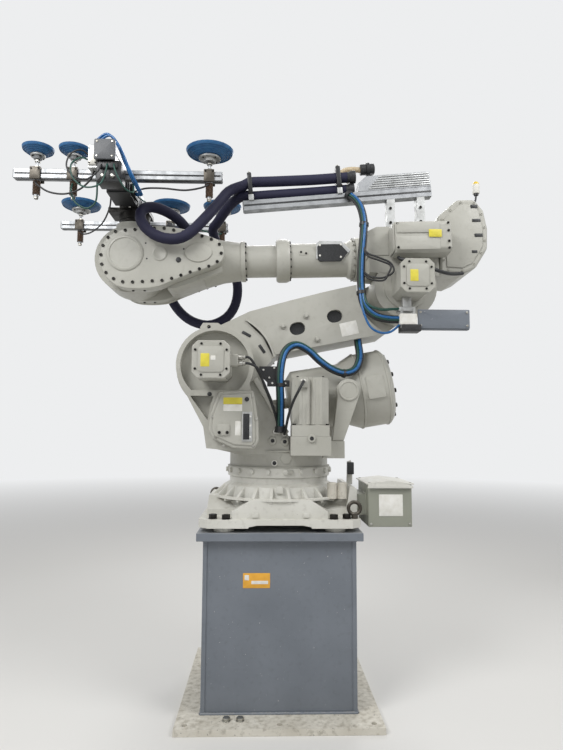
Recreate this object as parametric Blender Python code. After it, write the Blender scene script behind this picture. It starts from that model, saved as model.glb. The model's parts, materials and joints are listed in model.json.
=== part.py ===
import math

import bmesh
import bpy
from mathutils import Matrix, Vector

# Sizes in metres. X points to the robot's rear, Y to its far side, Z up.
GAP = 0.0003
RUN = 0.0005

PLATE_X = 0.940
PLATE_Y = 0.960
PLATE_T = 0.030
COLUMN_X = 0.730
COLUMN_Y = 0.694
COLUMN_TOP = 0.816
SIDE_T = 0.020
PANEL_T = 0.010
PANEL_RECESS = 0.006
TOP_X = 0.790
TOP_Y = 0.755
TOP_T = 0.038
PAD_T = 0.020
PAD_R = 0.050
ANCHOR_X = 0.424
ANCHOR_Y = 0.440
ANCHOR_R = 0.013

BASE_X = 0.780
BASE_Y = 0.740
LUG_T = 0.041
BASE_WALL = 0.131
BASE_R = 0.290
RING_R = 0.262
TOWER_H = 0.2255
EYE_R = 0.029
EYE_WIRE = 0.009
JBOX_X = 0.215
JBOX_Y = 0.300
JBOX_Z = 0.205
JBOX_LID_T = 0.020

DISC_R = 0.272
DISC_T = 0.050
SKIRT_R = 0.262
SKIRT_H = 0.0882
SADDLE_H = 0.067
MOTOR_PAD = 0.003
FOOT_DROP = 0.020

AXIS2_X = -0.320
AXIS2_RISE = 0.416
EAR_FRONT = -0.360
EAR_BACK = -0.205
EAR_R = 0.190
DISH_R = 0.168
DISH_DEPTH = 0.062
MOTOR2_HALF = 0.086
MOTOR2_END = -0.575
MOTOR1_X = 0.144
MOTOR1_Y = -0.300
MOTOR1_HALF = 0.086
MOTOR1_H = 0.285
COVER_T = 0.034

TRUNNION_X = 0.345
TRUNNION_DROP = 0.116
TRUNNION_R = 0.030
BALANCER_TILT = 9.8
BALANCER_R = 0.166
BALANCER_END_R = 0.203
BRACKET_IN = 0.222
BRACKET_T = 0.040

ARM_LENGTH = 1.075
ARM_ANGLE = 24.0
ARM_HALF = 0.150
HUB2_R = 0.215
HUB3_R = 0.130
FORK_R = 0.255
FORK_Y = 0.050
POCKET_L = 0.084
POCKET_W = 0.068
POCKET_DEPTH = 0.110

ELBOW = 0.209
ARM_TILT = 1.8
REACH = 1.4747
TUBE_R = 0.095
EXT_R = 0.100
NECK_L = 0.6227
TUBE_SHARE = 0.71244
FLANGE_R = 0.130
HOUSE_HALF = 0.200
BOSS3_Y = 0.208
MOTOR4_HALF = 0.083
MOTOR3_HALF = 0.078
MOTOR3_END = -0.430
REAR_HALF = 0.200

CHEEK_IN = 0.105
CHEEK_OUT = 0.180
WRIST_COVER = 0.200
CAP5_R = 0.098
HEAD_R = 0.185
FLANGE6_Z = 0.215

BAR = 0.045
BAR_L = 1.028
BAR_RISE = 0.34608
NEAR_Y = -0.350
FAR_Y = 0.370
BEAM = 0.080
BEAM_BACK = 0.03309
CUP_RISE = 0.100
CUP_R = 0.120
SMALL_CUP_R = 0.0775

RAIL = 0.054
RAIL_Y = -0.100
RAIL_FORE = 0.86206
RAIL_FORE_RISE = 0.24826
RAIL_AFT = 0.16594
RAIL_AFT_RISE = 0.34676
BOX_H = 0.086
HOSE_R = 0.030
HOSE_STEP = 4.0
HOSE_HIGH = 0.067
HOSE_LOW = 0.067
HOSE_Y1 = -0.100
HOSE_Y2 = -0.036

CAST = (0.50, 0.49, 0.44)
CASTWHITE = (0.66, 0.65, 0.60)
SLATE = (0.18, 0.20, 0.23)
CREAM = (0.68, 0.66, 0.60)
BLACK = (0.02, 0.02, 0.02)
ALU = (0.58, 0.59, 0.60)
STEEL = (0.25, 0.25, 0.25)
NAVY = (0.018, 0.017, 0.06)
BLUE = (0.03, 0.16, 0.38)

FOOT_Z = COLUMN_TOP + TOP_T
BASE_Z = FOOT_Z + PAD_T
RING_TOP = BASE_Z + TOWER_H
SKIRT_TOP = RING_TOP + RUN + DISC_T + GAP + SKIRT_H - RUN
SADDLE_TOP = SKIRT_TOP + SADDLE_H
PAD_TOP = SADDLE_TOP + MOTOR_PAD
MOTOR1_TOP = PAD_TOP + MOTOR1_H
AXIS2_Z = SKIRT_TOP + AXIS2_RISE
TRUNNION_Z = AXIS2_Z - TRUNNION_DROP
AXIS3_X = AXIS2_X + ARM_LENGTH * math.cos(math.radians(ARM_ANGLE))
AXIS3_Z = AXIS2_Z + ARM_LENGTH * math.sin(math.radians(ARM_ANGLE))
LINE_Z = AXIS3_Z + ELBOW
AXIS5_X = AXIS3_X - REACH * math.cos(math.radians(ARM_TILT))
AXIS5_Z = LINE_Z - REACH * math.sin(math.radians(ARM_TILT))
LOCAL5_X = AXIS3_X - REACH
EXT_END = REACH - NECK_L
FRONT_END = EXT_END * TUBE_SHARE
BAR_Z = AXIS5_Z + BAR_RISE
CUP_Z = BAR_Z + CUP_RISE
BEAM_X = AXIS5_X - BEAM_BACK
RAIL_LEFT = (AXIS3_X - RAIL_FORE, LINE_Z + RAIL_FORE_RISE)
RAIL_RIGHT = (AXIS3_X + RAIL_AFT, LINE_Z + RAIL_AFT_RISE)
PIVOTS = {
    "base": (0.0, 0.0, 0.0),
    "frame": (0.0, 0.0, SKIRT_TOP),
    "balancer": (TRUNNION_X, 0.0, TRUNNION_Z),
    "lower": (AXIS2_X, 0.0, AXIS2_Z),
    "upper": (AXIS3_X, 0.0, AXIS3_Z),
    "wrist": (AXIS5_X, 0.0, AXIS5_Z),
    "tilt": (AXIS5_X, 0.0, AXIS5_Z),
    "tool": (AXIS5_X, 0.0, AXIS5_Z),
}

for old in list(bpy.data.objects):
    bpy.data.objects.remove(old, do_unlink=True)


def makeObject(bm):
    bmesh.ops.recalc_face_normals(bm, faces=bm.faces)
    mesh = bpy.data.meshes.new("piece")
    bm.to_mesh(mesh)
    bm.free()
    ob = bpy.data.objects.new("piece", mesh)
    bpy.context.scene.collection.objects.link(ob)
    return ob


def prism(points, axis, low, high):
    """A polygon stretched along one axis. Y takes (x, z), X takes (y, z), Z takes (x, y)."""
    bm = bmesh.new()

    def place(a, b, t):
        if axis == "Y":
            return (a, t, b)
        if axis == "X":
            return (t, a, b)
        return (a, b, t)

    first = [bm.verts.new(place(a, b, low)) for a, b in points]
    last = [bm.verts.new(place(a, b, high)) for a, b in points]
    count = len(points)
    bm.faces.new(first)
    bm.faces.new(last)
    for i in range(count):
        j = (i + 1) % count
        bm.faces.new((first[i], first[j], last[j], last[i]))
    return makeObject(bm)


def box(x0, x1, y0, y1, z0, z1):
    return prism([(x0, y0), (x1, y0), (x1, y1), (x0, y1)], "Z", z0, z1)


def frameOf(direction):
    return Vector((0, 0, 1)).rotation_difference(Vector(direction)).to_matrix().to_4x4()


def lathe(profile, centre, direction, steps):
    """A closed (radius, height) outline turned about an axis. Radius 0 closes on the axis."""
    bm = bmesh.new()
    rings = []
    for radius, height in profile:
        if radius < 1e-9:
            rings.append([bm.verts.new((0, 0, height))])
        else:
            ring = []
            for k in range(steps):
                angle = 2 * math.pi * k / steps
                ring.append(bm.verts.new((radius * math.cos(angle), radius * math.sin(angle), height)))
            rings.append(ring)
    count = len(rings)
    onAxis = len(rings[0]) == 1 and len(rings[-1]) == 1
    last = count - 1 if onAxis else count
    for i in range(last):
        lower = rings[i]
        upper = rings[(i + 1) % count]
        for k in range(steps):
            m = (k + 1) % steps
            if len(lower) == 1 and len(upper) == 1:
                continue
            if len(lower) == 1:
                bm.faces.new((lower[0], upper[k], upper[m]))
            elif len(upper) == 1:
                bm.faces.new((lower[k], lower[m], upper[0]))
            else:
                bm.faces.new((lower[k], lower[m], upper[m], upper[k]))
    ob = makeObject(bm)
    ob.data.transform(Matrix.Translation(centre) @ frameOf(direction))
    return ob


def cylinder(centre, direction, radius, low, high, steps=32):
    """A round bar from low to high along the direction."""
    bm = bmesh.new()
    first = []
    last = []
    for k in range(steps):
        angle = 2 * math.pi * (k + 0.5) / steps
        first.append(bm.verts.new((radius * math.cos(angle), radius * math.sin(angle), low)))
        last.append(bm.verts.new((radius * math.cos(angle), radius * math.sin(angle), high)))
    bm.faces.new(first)
    bm.faces.new(last)
    for k in range(steps):
        m = (k + 1) % steps
        bm.faces.new((first[k], first[m], last[m], last[k]))
    ob = makeObject(bm)
    ob.data.transform(Matrix.Translation(centre) @ frameOf(direction))
    return ob


def solve(target, others, operation):
    """Exact Booleans, worked out at once so that the result is plain mesh."""
    for other in others:
        step = target.modifiers.new("step", "BOOLEAN")
        step.operation = operation
        step.solver = "EXACT"
        step.object = other
        other.hide_render = True
        other.display_type = "WIRE"
    graph = bpy.context.evaluated_depsgraph_get()
    graph.update()
    mesh = bpy.data.meshes.new_from_object(target.evaluated_get(graph))
    target.modifiers.clear()
    target.data = mesh
    for other in others:
        bpy.data.objects.remove(other, do_unlink=True)
    return target


def union(first, *others):
    return solve(first, others, "UNION")


def cut(first, *others):
    return solve(first, others, "DIFFERENCE")


def turn(ob, centre, degrees, axis="Y"):
    ob.data.transform(
        Matrix.Translation(centre)
        @ Matrix.Rotation(math.radians(degrees), 4, axis)
        @ Matrix.Translation(-Vector(centre))
    )
    return ob


def onArm(ob):
    """From the upright sketch of the upper arm to its slightly drooping line."""
    return turn(ob, (AXIS3_X, 0.0, LINE_Z), -ARM_TILT)


def finish(name, ob, body, colour, metallic=0.0, roughness=0.5):
    pivot = Vector(PIVOTS[body])
    ob.name = name
    ob.data.name = name
    if ob.type == "MESH":
        ob.data.transform(Matrix.Translation(-pivot))
        ob.location = pivot
        for face in ob.data.polygons:
            face.use_smooth = True
        ob.data.set_sharp_from_angle(angle=math.radians(32))
    material = bpy.data.materials.new(name)
    material.use_nodes = True
    shader = material.node_tree.nodes["Principled BSDF"]
    shader.inputs["Base Color"].default_value = (*colour, 1.0)
    shader.inputs["Metallic"].default_value = metallic
    shader.inputs["Roughness"].default_value = roughness
    ob.data.materials.clear()
    ob.data.materials.append(material)
    return ob


def circlePoints(x, z, radius, start, end, count):
    points = []
    for k in range(count + 1):
        angle = math.radians(start + (end - start) * k / count)
        points.append((x + radius * math.cos(angle), z + radius * math.sin(angle)))
    return points


def smoothPath(points, spacing):
    """A Catmull-Rom curve through the points, sampled at an even spacing."""
    knots = [Vector(p) for p in points]
    knots = [2 * knots[0] - knots[1]] + knots + [2 * knots[-1] - knots[-2]]
    dense = []
    for i in range(1, len(knots) - 2):
        a, b, c, d = knots[i - 1], knots[i], knots[i + 1], knots[i + 2]
        for k in range(16):
            t = k / 16
            dense.append(0.5 * (2 * b + (c - a) * t + (2 * a - 5 * b + 4 * c - d) * t * t
                                + (3 * b - a - 3 * c + d) * t ** 3))
    dense.append(knots[-2])
    total = sum((dense[i + 1] - dense[i]).length for i in range(len(dense) - 1))
    count = max(3, int(round(total / spacing)))
    result = [dense[0]]
    walked = 0.0
    target = total / count
    for i in range(len(dense) - 1):
        step = (dense[i + 1] - dense[i]).length
        while walked + step >= target and len(result) < count:
            result.append(dense[i].lerp(dense[i + 1], (target - walked) / step))
            target += total / count
        walked += step
    result.append(dense[-1])
    return result


def hoses(name, paths, body, colour, roughness=0.5):
    """One curve object with a round tube for each (points, radius) pair."""
    curve = bpy.data.curves.new(name, "CURVE")
    curve.dimensions = "3D"
    curve.resolution_u = 1
    curve.bevel_depth = 1.0
    curve.bevel_resolution = 2
    curve.use_fill_caps = True
    for points, radius in paths:
        line = smoothPath(points, radius * HOSE_STEP)
        spline = curve.splines.new("POLY")
        spline.points.add(len(line) - 1)
        for knot, place in zip(spline.points, line):
            knot.co = (place.x, place.y, place.z, 1.0)
            knot.radius = radius
    ob = bpy.data.objects.new(name, curve)
    bpy.context.scene.collection.objects.link(ob)
    return finish(name, ob, body, colour, 0.0, roughness)


def pedestal():
    plate = box(-PLATE_X / 2, PLATE_X / 2, -PLATE_Y / 2, PLATE_Y / 2, 0, PLATE_T)
    holes = []
    for x in (-ANCHOR_X, 0.0, ANCHOR_X):
        for y in (-ANCHOR_Y, ANCHOR_Y):
            holes.append(cylinder((x, y, 0), (0, 0, 1), ANCHOR_R, -0.01, PLATE_T + 0.01, 12))
    finish("floor_plate", cut(plate, *holes), "base", CREAM)
    halfX = COLUMN_X / 2
    halfY = COLUMN_Y / 2
    low = PLATE_T + GAP
    high = COLUMN_TOP - GAP
    left = box(-halfX, -halfX + SIDE_T, -halfY, halfY, low, high)
    right = box(halfX - SIDE_T, halfX, -halfY, halfY, low, high)
    inner = halfX - SIDE_T + 0.005
    front = -halfY + PANEL_RECESS
    walls = box(-inner, inner, front, -front, low - 0.005, high + 0.005)
    room = box(-inner + 0.01, inner - 0.01, front + PANEL_T, -front - PANEL_T, low - 0.02, high + 0.02)
    ends = [box(-1, 1, -1, 1, z, z + 0.1) for z in (low - 0.1, high)]
    finish("column", cut(union(left, right, cut(walls, room)), *ends), "base", SLATE)
    top = box(-TOP_X / 2, TOP_X / 2, -TOP_Y / 2, TOP_Y / 2, COLUMN_TOP, COLUMN_TOP + TOP_T)
    finish("top_plate", top, "base", SLATE)


def baseCasting():
    """Foot slab with corner lugs, two crossing walls with sloping shoulders, round tower, all hollow."""
    lugTop = BASE_Z + LUG_T
    wallTop = BASE_Z + BASE_WALL
    hx = BASE_X / 2
    hy = BASE_Y / 2
    c = 0.045
    slab = prism([(-hx + c, -hy), (hx - c, -hy), (hx, -hy + c), (hx, hy - c),
                  (hx - c, hy), (-hx + c, hy), (-hx, hy - c), (-hx, -hy + c)], "Z", BASE_Z, lugTop)
    front = [(-0.232, lugTop - 0.01), (0.232, lugTop - 0.01), (0.232, lugTop + 0.033), (0.145, wallTop),
             (-0.135, wallTop), (-0.232, lugTop + 0.033)]
    wallY = prism(front, "Y", -hy + 0.030, hy - 0.030)
    wallX = prism(front, "X", -hx + 0.030, hx - 0.030)
    tower = lathe([(0, lugTop - 0.01), (BASE_R + 0.03, lugTop - 0.01), (BASE_R, RING_TOP - 0.045),
                   (RING_R, RING_TOP - 0.028), (RING_R, RING_TOP), (0, RING_TOP)],
                  (0, 0, 0), (0, 0, 1), 40)
    stand = prism([(0.325, lugTop - 0.01), (0.386, lugTop - 0.01), (0.386, RING_TOP - 0.0545),
                   (0.372, RING_TOP - 0.0415), (0.350, RING_TOP - 0.0415)], "Y", -0.250, 0.250)
    pads = []
    for x in (-0.27, 0.27):
        for y in (-0.30, 0.30):
            pads.append(cylinder((x, y, 0), (0, 0, 1), PAD_R, FOOT_Z + GAP, BASE_Z + 0.01, 20))
    body = union(slab, wallY, wallX, tower, stand, *pads)
    hollow = lathe([(0, BASE_Z - 0.02), (0.250, BASE_Z - 0.02), (0.250, wallTop - 0.030),
                    (0.170, wallTop), (0.170, RING_TOP - 0.022), (0, RING_TOP - 0.022)],
                   (0, 0, 0), (0, 0, 1), 32)
    arch = prism([(-0.150, BASE_Z - 0.02), (0.150, BASE_Z - 0.02), (0.150, BASE_Z + 0.006),
                  (0.110, BASE_Z + 0.014), (-0.110, BASE_Z + 0.014), (-0.150, BASE_Z + 0.006)],
                 "Y", -hy - 0.05, hy + 0.05)
    finish("base_casting", cut(body, hollow, arch), "base", CASTWHITE)
    for name, x, y in (("lifting_eye_right", 0.360, -0.325), ("lifting_eye_left", -0.360, 0.325)):
        ring = []
        for k in range(10):
            angle = 2 * math.pi * k / 10
            ring.append((EYE_R + EYE_WIRE * math.cos(angle), EYE_WIRE * math.sin(angle)))
        loop = lathe(ring, (x, y, lugTop + 0.020 + EYE_R), (0, 1, 0), 20)
        foot = cylinder((x, y, 0), (0, 0, 1), 0.016, lugTop + GAP, lugTop + 0.020, 12)
        finish(name, union(loop, foot), "base", STEEL, 0.9, 0.4)
    x0 = 0.432
    y0 = -0.300
    body = box(x0, x0 + JBOX_X, y0, y0 + JBOX_Y, BASE_Z - 0.004, BASE_Z - 0.004 + JBOX_Z)
    neck = box(0.386 + GAP, x0 + 0.01, y0 + 0.06, y0 + JBOX_Y - 0.03, BASE_Z + 0.045, BASE_Z + 0.15)
    finish("junction_box", union(body, neck), "base", (0.42, 0.42, 0.36))
    lidZ = BASE_Z - 0.004 + JBOX_Z + GAP
    lid = prism([(x0 - 0.010, lidZ), (x0 + JBOX_X + 0.010, lidZ), (x0 + JBOX_X + 0.010, lidZ + 0.006),
                 (x0 + JBOX_X / 2, lidZ + JBOX_LID_T), (x0 - 0.010, lidZ + 0.006)],
                "Y", y0 - 0.012, y0 + JBOX_Y + 0.012)
    finish("junction_lid", lid, "base", CASTWHITE)


def earOutline():
    left = circlePoints(AXIS2_X, AXIS2_Z, EAR_R, -28, 214, 26)
    lower = [(AXIS2_X - 0.052, AXIS2_Z - 0.302), (AXIS2_X - 0.036, AXIS2_Z - 0.404),
             (AXIS2_X + 0.150, AXIS2_Z - 0.420), (AXIS2_X + 0.195, AXIS2_Z - 0.380),
             (AXIS2_X + 0.205, AXIS2_Z - 0.300)]
    return left + lower


def frameCasting():
    disc = cylinder((0, 0, 0), (0, 0, 1), DISC_R, RING_TOP + RUN, RING_TOP + RUN + DISC_T, 40)
    finish("turning_disc", disc, "frame", CAST)
    low = RING_TOP + RUN + DISC_T + GAP
    skirt = cylinder((0, 0, 0), (0, 0, 1), SKIRT_R, low, SKIRT_TOP, 40)
    saddle = prism([(-0.230, SKIRT_TOP - 0.02), (0.240, SKIRT_TOP - 0.02), (0.240, SADDLE_TOP - 0.02),
                    (0.120, SADDLE_TOP), (-0.160, SADDLE_TOP), (-0.230, SADDLE_TOP - 0.03)],
                   "Y", -0.222, 0.222)
    ear = prism(earOutline(), "Y", EAR_FRONT, EAR_BACK)
    foot = prism([(AXIS2_X - 0.036, AXIS2_Z - 0.404), (AXIS2_X - 0.052, AXIS2_Z - 0.300),
                  (-0.060, AXIS2_Z - 0.250), (0.020, SADDLE_TOP - 0.01), (0.020, SKIRT_TOP - 0.03),
                  (-0.160, SKIRT_TOP - 0.03)], "Y", EAR_BACK - 0.030, 0.130)
    web = prism([(AXIS2_X + 0.120, AXIS2_Z + 0.120), (AXIS2_X + 0.180, AXIS2_Z + 0.060),
                 (0.045, SADDLE_TOP), (0.045, SKIRT_TOP - 0.02), (AXIS2_X + 0.120, SKIRT_TOP - 0.02)],
                "Y", -0.255, EAR_BACK)
    pad = box(MOTOR1_X - 0.095, MOTOR1_X + 0.098, MOTOR1_Y - 0.090, -0.10, SKIRT_TOP - 0.02, PAD_TOP)
    feet = [box(0.215, 0.322, s * 0.24 - 0.030, s * 0.24 + 0.030, SKIRT_TOP - 0.038,
                SADDLE_TOP - FOOT_DROP) for s in (-1, 1)]
    lug = prism([(AXIS2_X - 0.075, AXIS2_Z + 0.150), (AXIS2_X + 0.042, AXIS2_Z + 0.150),
                 (AXIS2_X + 0.036, AXIS2_Z + 0.190), (AXIS2_X + 0.010, AXIS2_Z + 0.206),
                 (AXIS2_X - 0.062, AXIS2_Z + 0.206), (AXIS2_X - 0.075, AXIS2_Z + 0.186)],
                "Y", EAR_FRONT + 0.004, EAR_FRONT + 0.050)
    body = union(skirt, saddle, foot, ear, web, pad, lug, *feet)
    dish = prism(circlePoints(AXIS2_X, AXIS2_Z, DISH_R, -48, 228, 30), "Y",
                 EAR_FRONT - 0.02, EAR_FRONT + DISH_DEPTH)
    hole = cylinder((AXIS2_X - 0.033, EAR_FRONT, AXIS2_Z + 0.186), (0, 1, 0), 0.010, -0.02, 0.08, 12)
    recess = prism([(AXIS2_X - 0.118, AXIS2_Z - 0.152), (AXIS2_X - 0.004, AXIS2_Z - 0.152),
                    (AXIS2_X - 0.020, AXIS2_Z - 0.200), (AXIS2_X - 0.032, AXIS2_Z - 0.270)],
                   "Y", EAR_FRONT - 0.02, EAR_FRONT + 0.055)
    finish("frame_casting", cut(body, dish, hole, recess), "frame", CAST)


def octagon(x, z, half, corner):
    a = half
    b = half - corner
    return [(x + a, z + b), (x + b, z + a), (x - b, z + a), (x - a, z + b),
            (x - a, z - b), (x - b, z - a), (x + b, z - a), (x + a, z - b)]


def frameUnits():
    cover = prism([(AXIS2_X + 0.022, AXIS2_Z - 0.133), (AXIS2_X + 0.190, AXIS2_Z - 0.128),
                   (AXIS2_X + 0.214, AXIS2_Z - 0.277), (AXIS2_X + 0.217, AXIS2_Z - 0.368),
                   (AXIS2_X + 0.195, AXIS2_Z - 0.407), (AXIS2_X + 0.094, AXIS2_Z - 0.402),
                   (AXIS2_X - 0.002, AXIS2_Z - 0.359), (AXIS2_X - 0.024, AXIS2_Z - 0.316),
                   (AXIS2_X - 0.017, AXIS2_Z - 0.243)], "Y", EAR_FRONT - GAP - COVER_T, EAR_FRONT - GAP)
    finish("ear_cover", cover, "frame", CAST)
    floor = EAR_FRONT + DISH_DEPTH - GAP
    body = prism(octagon(AXIS2_X, AXIS2_Z, MOTOR2_HALF - 0.006, 0.022), "Y", MOTOR2_END + 0.030, floor)
    cap = prism(octagon(AXIS2_X, AXIS2_Z, MOTOR2_HALF, 0.026), "Y", MOTOR2_END, MOTOR2_END + 0.036)
    plug = box(AXIS2_X + 0.070, AXIS2_X + 0.118, -0.500, -0.440, AXIS2_Z - 0.020, AXIS2_Z + 0.034)
    finish("axis2_motor", union(body, cap, plug), "frame", CAST)
    h = MOTOR1_HALF
    side = [(h, -h + 0.030), (h, -0.012), (h - 0.010, -0.008), (h - 0.010, 0.008),
            (h, 0.012), (h, h - 0.030), (h - 0.030, h)]
    outline = []
    for k in range(4):
        angle = math.radians(90 * k)
        for a, b in side:
            outline.append((MOTOR1_X + a * math.cos(angle) - b * math.sin(angle),
                            MOTOR1_Y + a * math.sin(angle) + b * math.cos(angle)))
    body = prism(outline, "Z", PAD_TOP + 0.032, MOTOR1_TOP)
    base = box(MOTOR1_X - h - 0.004, MOTOR1_X + h + 0.004, MOTOR1_Y - h - 0.004, MOTOR1_Y + h + 0.004,
               PAD_TOP + GAP, PAD_TOP + 0.054)
    plug = box(MOTOR1_X - 0.062, MOTOR1_X - 0.014, MOTOR1_Y - h - 0.020, MOTOR1_Y - h + 0.02,
               MOTOR1_TOP - 0.050, MOTOR1_TOP - 0.006)
    finish("axis1_motor", union(body, base, plug), "frame", CAST)
    for s in (-1, 1):
        y0 = s * BRACKET_IN
        y1 = s * (BRACKET_IN + BRACKET_T)
        low, high = min(y0, y1), max(y0, y1)
        x, z = TRUNNION_X, TRUNNION_Z
        outline = circlePoints(x, z, 0.060, -20, 200, 16)
        foot = SADDLE_TOP - FOOT_DROP + GAP
        outline += [(x - 0.085, foot), (x - 0.026, foot)]
        plate = prism(outline, "Y", low, high)
        bore = cylinder((x, 0, z), (0, 1, 0), TRUNNION_R + RUN, low - 0.01, high - 0.012 * (s > 0), 24)
        if s < 0:
            bpy.data.objects.remove(bore, do_unlink=True)
            bore = cylinder((x, 0, z), (0, 1, 0), TRUNNION_R + RUN, low + 0.012, high + 0.01, 24)
        finish("balancer_bracket_near" if s < 0 else "balancer_bracket_far", cut(plate, bore), "frame", CAST)
    plate = prism([(-0.106, AXIS2_Z + 0.004), (-0.010, AXIS2_Z + 0.004), (-0.010, AXIS2_Z - 0.060),
                   (-0.050, AXIS2_Z - 0.092), (-0.106, AXIS2_Z - 0.040)], "Y", -0.264, -0.255 - GAP)
    arm = box(-0.066, 0.046, -0.288, -0.255 - GAP, AXIS2_Z - 0.098, AXIS2_Z - 0.068)
    finish("cable_bracket", union(plate, arm), "frame", BLACK)


def balancer():
    tilt = (math.cos(math.radians(BALANCER_TILT)), 0, math.sin(math.radians(BALANCER_TILT)))
    centre = (TRUNNION_X, 0, TRUNNION_Z)
    shell = lathe([(0, -0.300), (0.120, -0.300), (BALANCER_R, -0.262), (BALANCER_R, -0.010),
                   (BALANCER_END_R, 0.075), (BALANCER_END_R, 0.232), (BALANCER_END_R - 0.020, 0.250),
                   (0, 0.250)], centre, tilt, 40)
    pins = cylinder(centre, (0, 1, 0), TRUNNION_R, -BRACKET_IN - BRACKET_T + 0.016,
                    BRACKET_IN + BRACKET_T - 0.016, 24)
    hubs = cylinder(centre, (0, 1, 0), 0.055, -BRACKET_IN + RUN, BRACKET_IN - RUN, 24)
    rod = cylinder(centre, tilt, 0.030, -0.420, -0.290, 20)
    finish("balancer", union(shell, hubs, pins, rod), "balancer", CAST)


def armPoint(t, h):
    """A point on the arm: t of the way from axis 2 to axis 3, and h to its upper side."""
    along = ARM_LENGTH * t
    c, s = math.cos(math.radians(ARM_ANGLE)), math.sin(math.radians(ARM_ANGLE))
    return (AXIS2_X + along * c - h * s, AXIS2_Z + along * s + h * c)


def lowerArm():
    upper = [(-0.025, 0.21009), (0.10742, 0.2102), (0.2525, 0.21629), (0.45367, 0.18569),
             (0.62479, 0.15633), (0.83143, 0.11435), (0.95913, 0.12766)]
    lower = [(0.82275, -0.17705), (0.28729, -0.04884), (0.17136, -0.11485)]
    outline = [armPoint(t, h) for t, h in upper]
    outline += circlePoints(AXIS3_X, AXIS3_Z, HUB3_R, 118, -60, 14)
    outline += [armPoint(t, h) for t, h in lower]
    outline += circlePoints(AXIS2_X, AXIS2_Z, HUB2_R, -35, -212, 16)
    body = prism(outline, "Y", -ARM_HALF, ARM_HALF)
    hub = cylinder((AXIS2_X, 0, AXIS2_Z), (0, 1, 0), HUB2_R - 0.004, EAR_BACK + RUN, ARM_HALF + 0.012, 40)
    body = union(body, hub)
    fork = cylinder((AXIS3_X, 0, AXIS3_Z), (0, 1, 0), FORK_R, -ARM_HALF - 0.05, FORK_Y, 40)
    pockets = []
    for t, h in ((0.43298, 0.03249), (0.62697, 0.01408)):
        x, z = armPoint(t, h)
        for side in (-1, 1):
            oval = []
            half = POCKET_L / 2 - POCKET_W / 2
            oval += circlePoints(half, 0, POCKET_W / 2, -90, 90, 7)
            oval += circlePoints(-half, 0, POCKET_W / 2, 90, 270, 7)
            c, s = math.cos(math.radians(15)), math.sin(math.radians(15))
            oval = [(x + a * c - b * s, z + a * s + b * c) for a, b in oval]
            low = -ARM_HALF - 0.02 if side < 0 else ARM_HALF - POCKET_DEPTH
            high = -ARM_HALF + POCKET_DEPTH if side < 0 else ARM_HALF + 0.02
            pockets.append(prism(oval, "Y", low, high))
    finish("lower_arm", cut(body, fork, *pockets), "lower", CAST)


def upperArm():
    x3, z3, z4 = AXIS3_X, AXIS3_Z, LINE_Z
    collar = cylinder((0, 0, z4), (1, 0, 0), 0.122, x3 - 0.247, x3 - 0.190, 36)
    high = prism([(x3 - 0.200, z4 - 0.035), (x3 - 0.200, z4 + 0.095), (x3 - 0.150, z4 + 0.118),
                  (x3 + 0.180, z4 + 0.118), (x3 + 0.180, z4 - 0.035)], "Y", -HOUSE_HALF, HOUSE_HALF)
    low = prism([(x3 - 0.194, z4 - 0.125), (x3 - 0.194, z4 - 0.02), (x3 + 0.174, z4 - 0.02),
                 (x3 + 0.174, z4 - 0.150)], "Y", -HOUSE_HALF + 0.005, FORK_Y - RUN - 0.005)
    boss = cylinder((x3, 0, z3), (0, 1, 0), 0.165, -HOUSE_HALF + 0.008, FORK_Y - RUN, 36)
    seat = cylinder((x3, 0, z3), (0, 1, 0), 0.118, -BOSS3_Y, 0, 32)
    house = union(onArm(union(collar, high)), onArm(low), boss, seat)
    finish("arm_house", house, "upper", CAST)
    rear = prism([(x3 + 0.180 + GAP, z4 - 0.135), (x3 + 0.180 + GAP, z4 + 0.170), (x3 + 0.290, z4 + 0.262),
                  (x3 + 0.385, z4 + 0.262), (x3 + 0.430, z4 + 0.200), (x3 + 0.447, z4 + 0.100),
                  (x3 + 0.440, z4 - 0.010), (x3 + 0.370, z4 - 0.115), (x3 + 0.300, z4 - 0.145)],
                 "Y", -REAR_HALF, REAR_HALF)
    finish("gear_cover", onArm(rear), "upper", CAST)
    h = MOTOR4_HALF
    for name, s in (("wrist_motor_near", -1), ("wrist_motor_far", 1)):
        low = -HOUSE_HALF - GAP - 0.135 if s < 0 else HOUSE_HALF + GAP
        outline = [(low + 0.020, z4 + 0.020 - h), (low + 0.115, z4 + 0.020 - h),
                   (low + 0.135, z4 + 0.040 - h),
                   (low + 0.135, z4 + h), (low + 0.115, z4 + 0.020 + h), (low + 0.020, z4 + 0.020 + h),
                   (low, z4 + h), (low, z4 + 0.040 - h)]
        finish(name, onArm(prism(outline, "X", x3 - 0.085, x3 + 0.205)), "upper", CAST)
    body = prism(octagon(x3, z3, MOTOR3_HALF, 0.022), "Y", MOTOR3_END + 0.028, -BOSS3_Y - GAP)
    cap = prism(octagon(x3, z3, MOTOR3_HALF + 0.006, 0.026), "Y", MOTOR3_END, MOTOR3_END + 0.032)
    finish("axis3_motor", union(body, cap), "upper", CAST)
    connector = box(x3 - 0.052, x3 + 0.040, -0.330, -0.260, z3 - 0.196, z3 - 0.078 - GAP)
    plate = box(x3 + 0.030, x3 + 0.260, -0.325, -0.317, z3 - 0.180, z3 - 0.104)
    finish("connector_block", union(connector, plate), "upper", CASTWHITE)
    lamp = lathe([(0, 0), (0.020, 0), (0.020, 0.012), (0.016, 0.014), (0.016, 0.050), (0.010, 0.060),
                  (0, 0.060)], (x3 + 0.350, -0.060, z4 + 0.262 + GAP), (0, 0, 1), 16)
    finish("signal_lamp", onArm(lamp), "upper", CASTWHITE)


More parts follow.
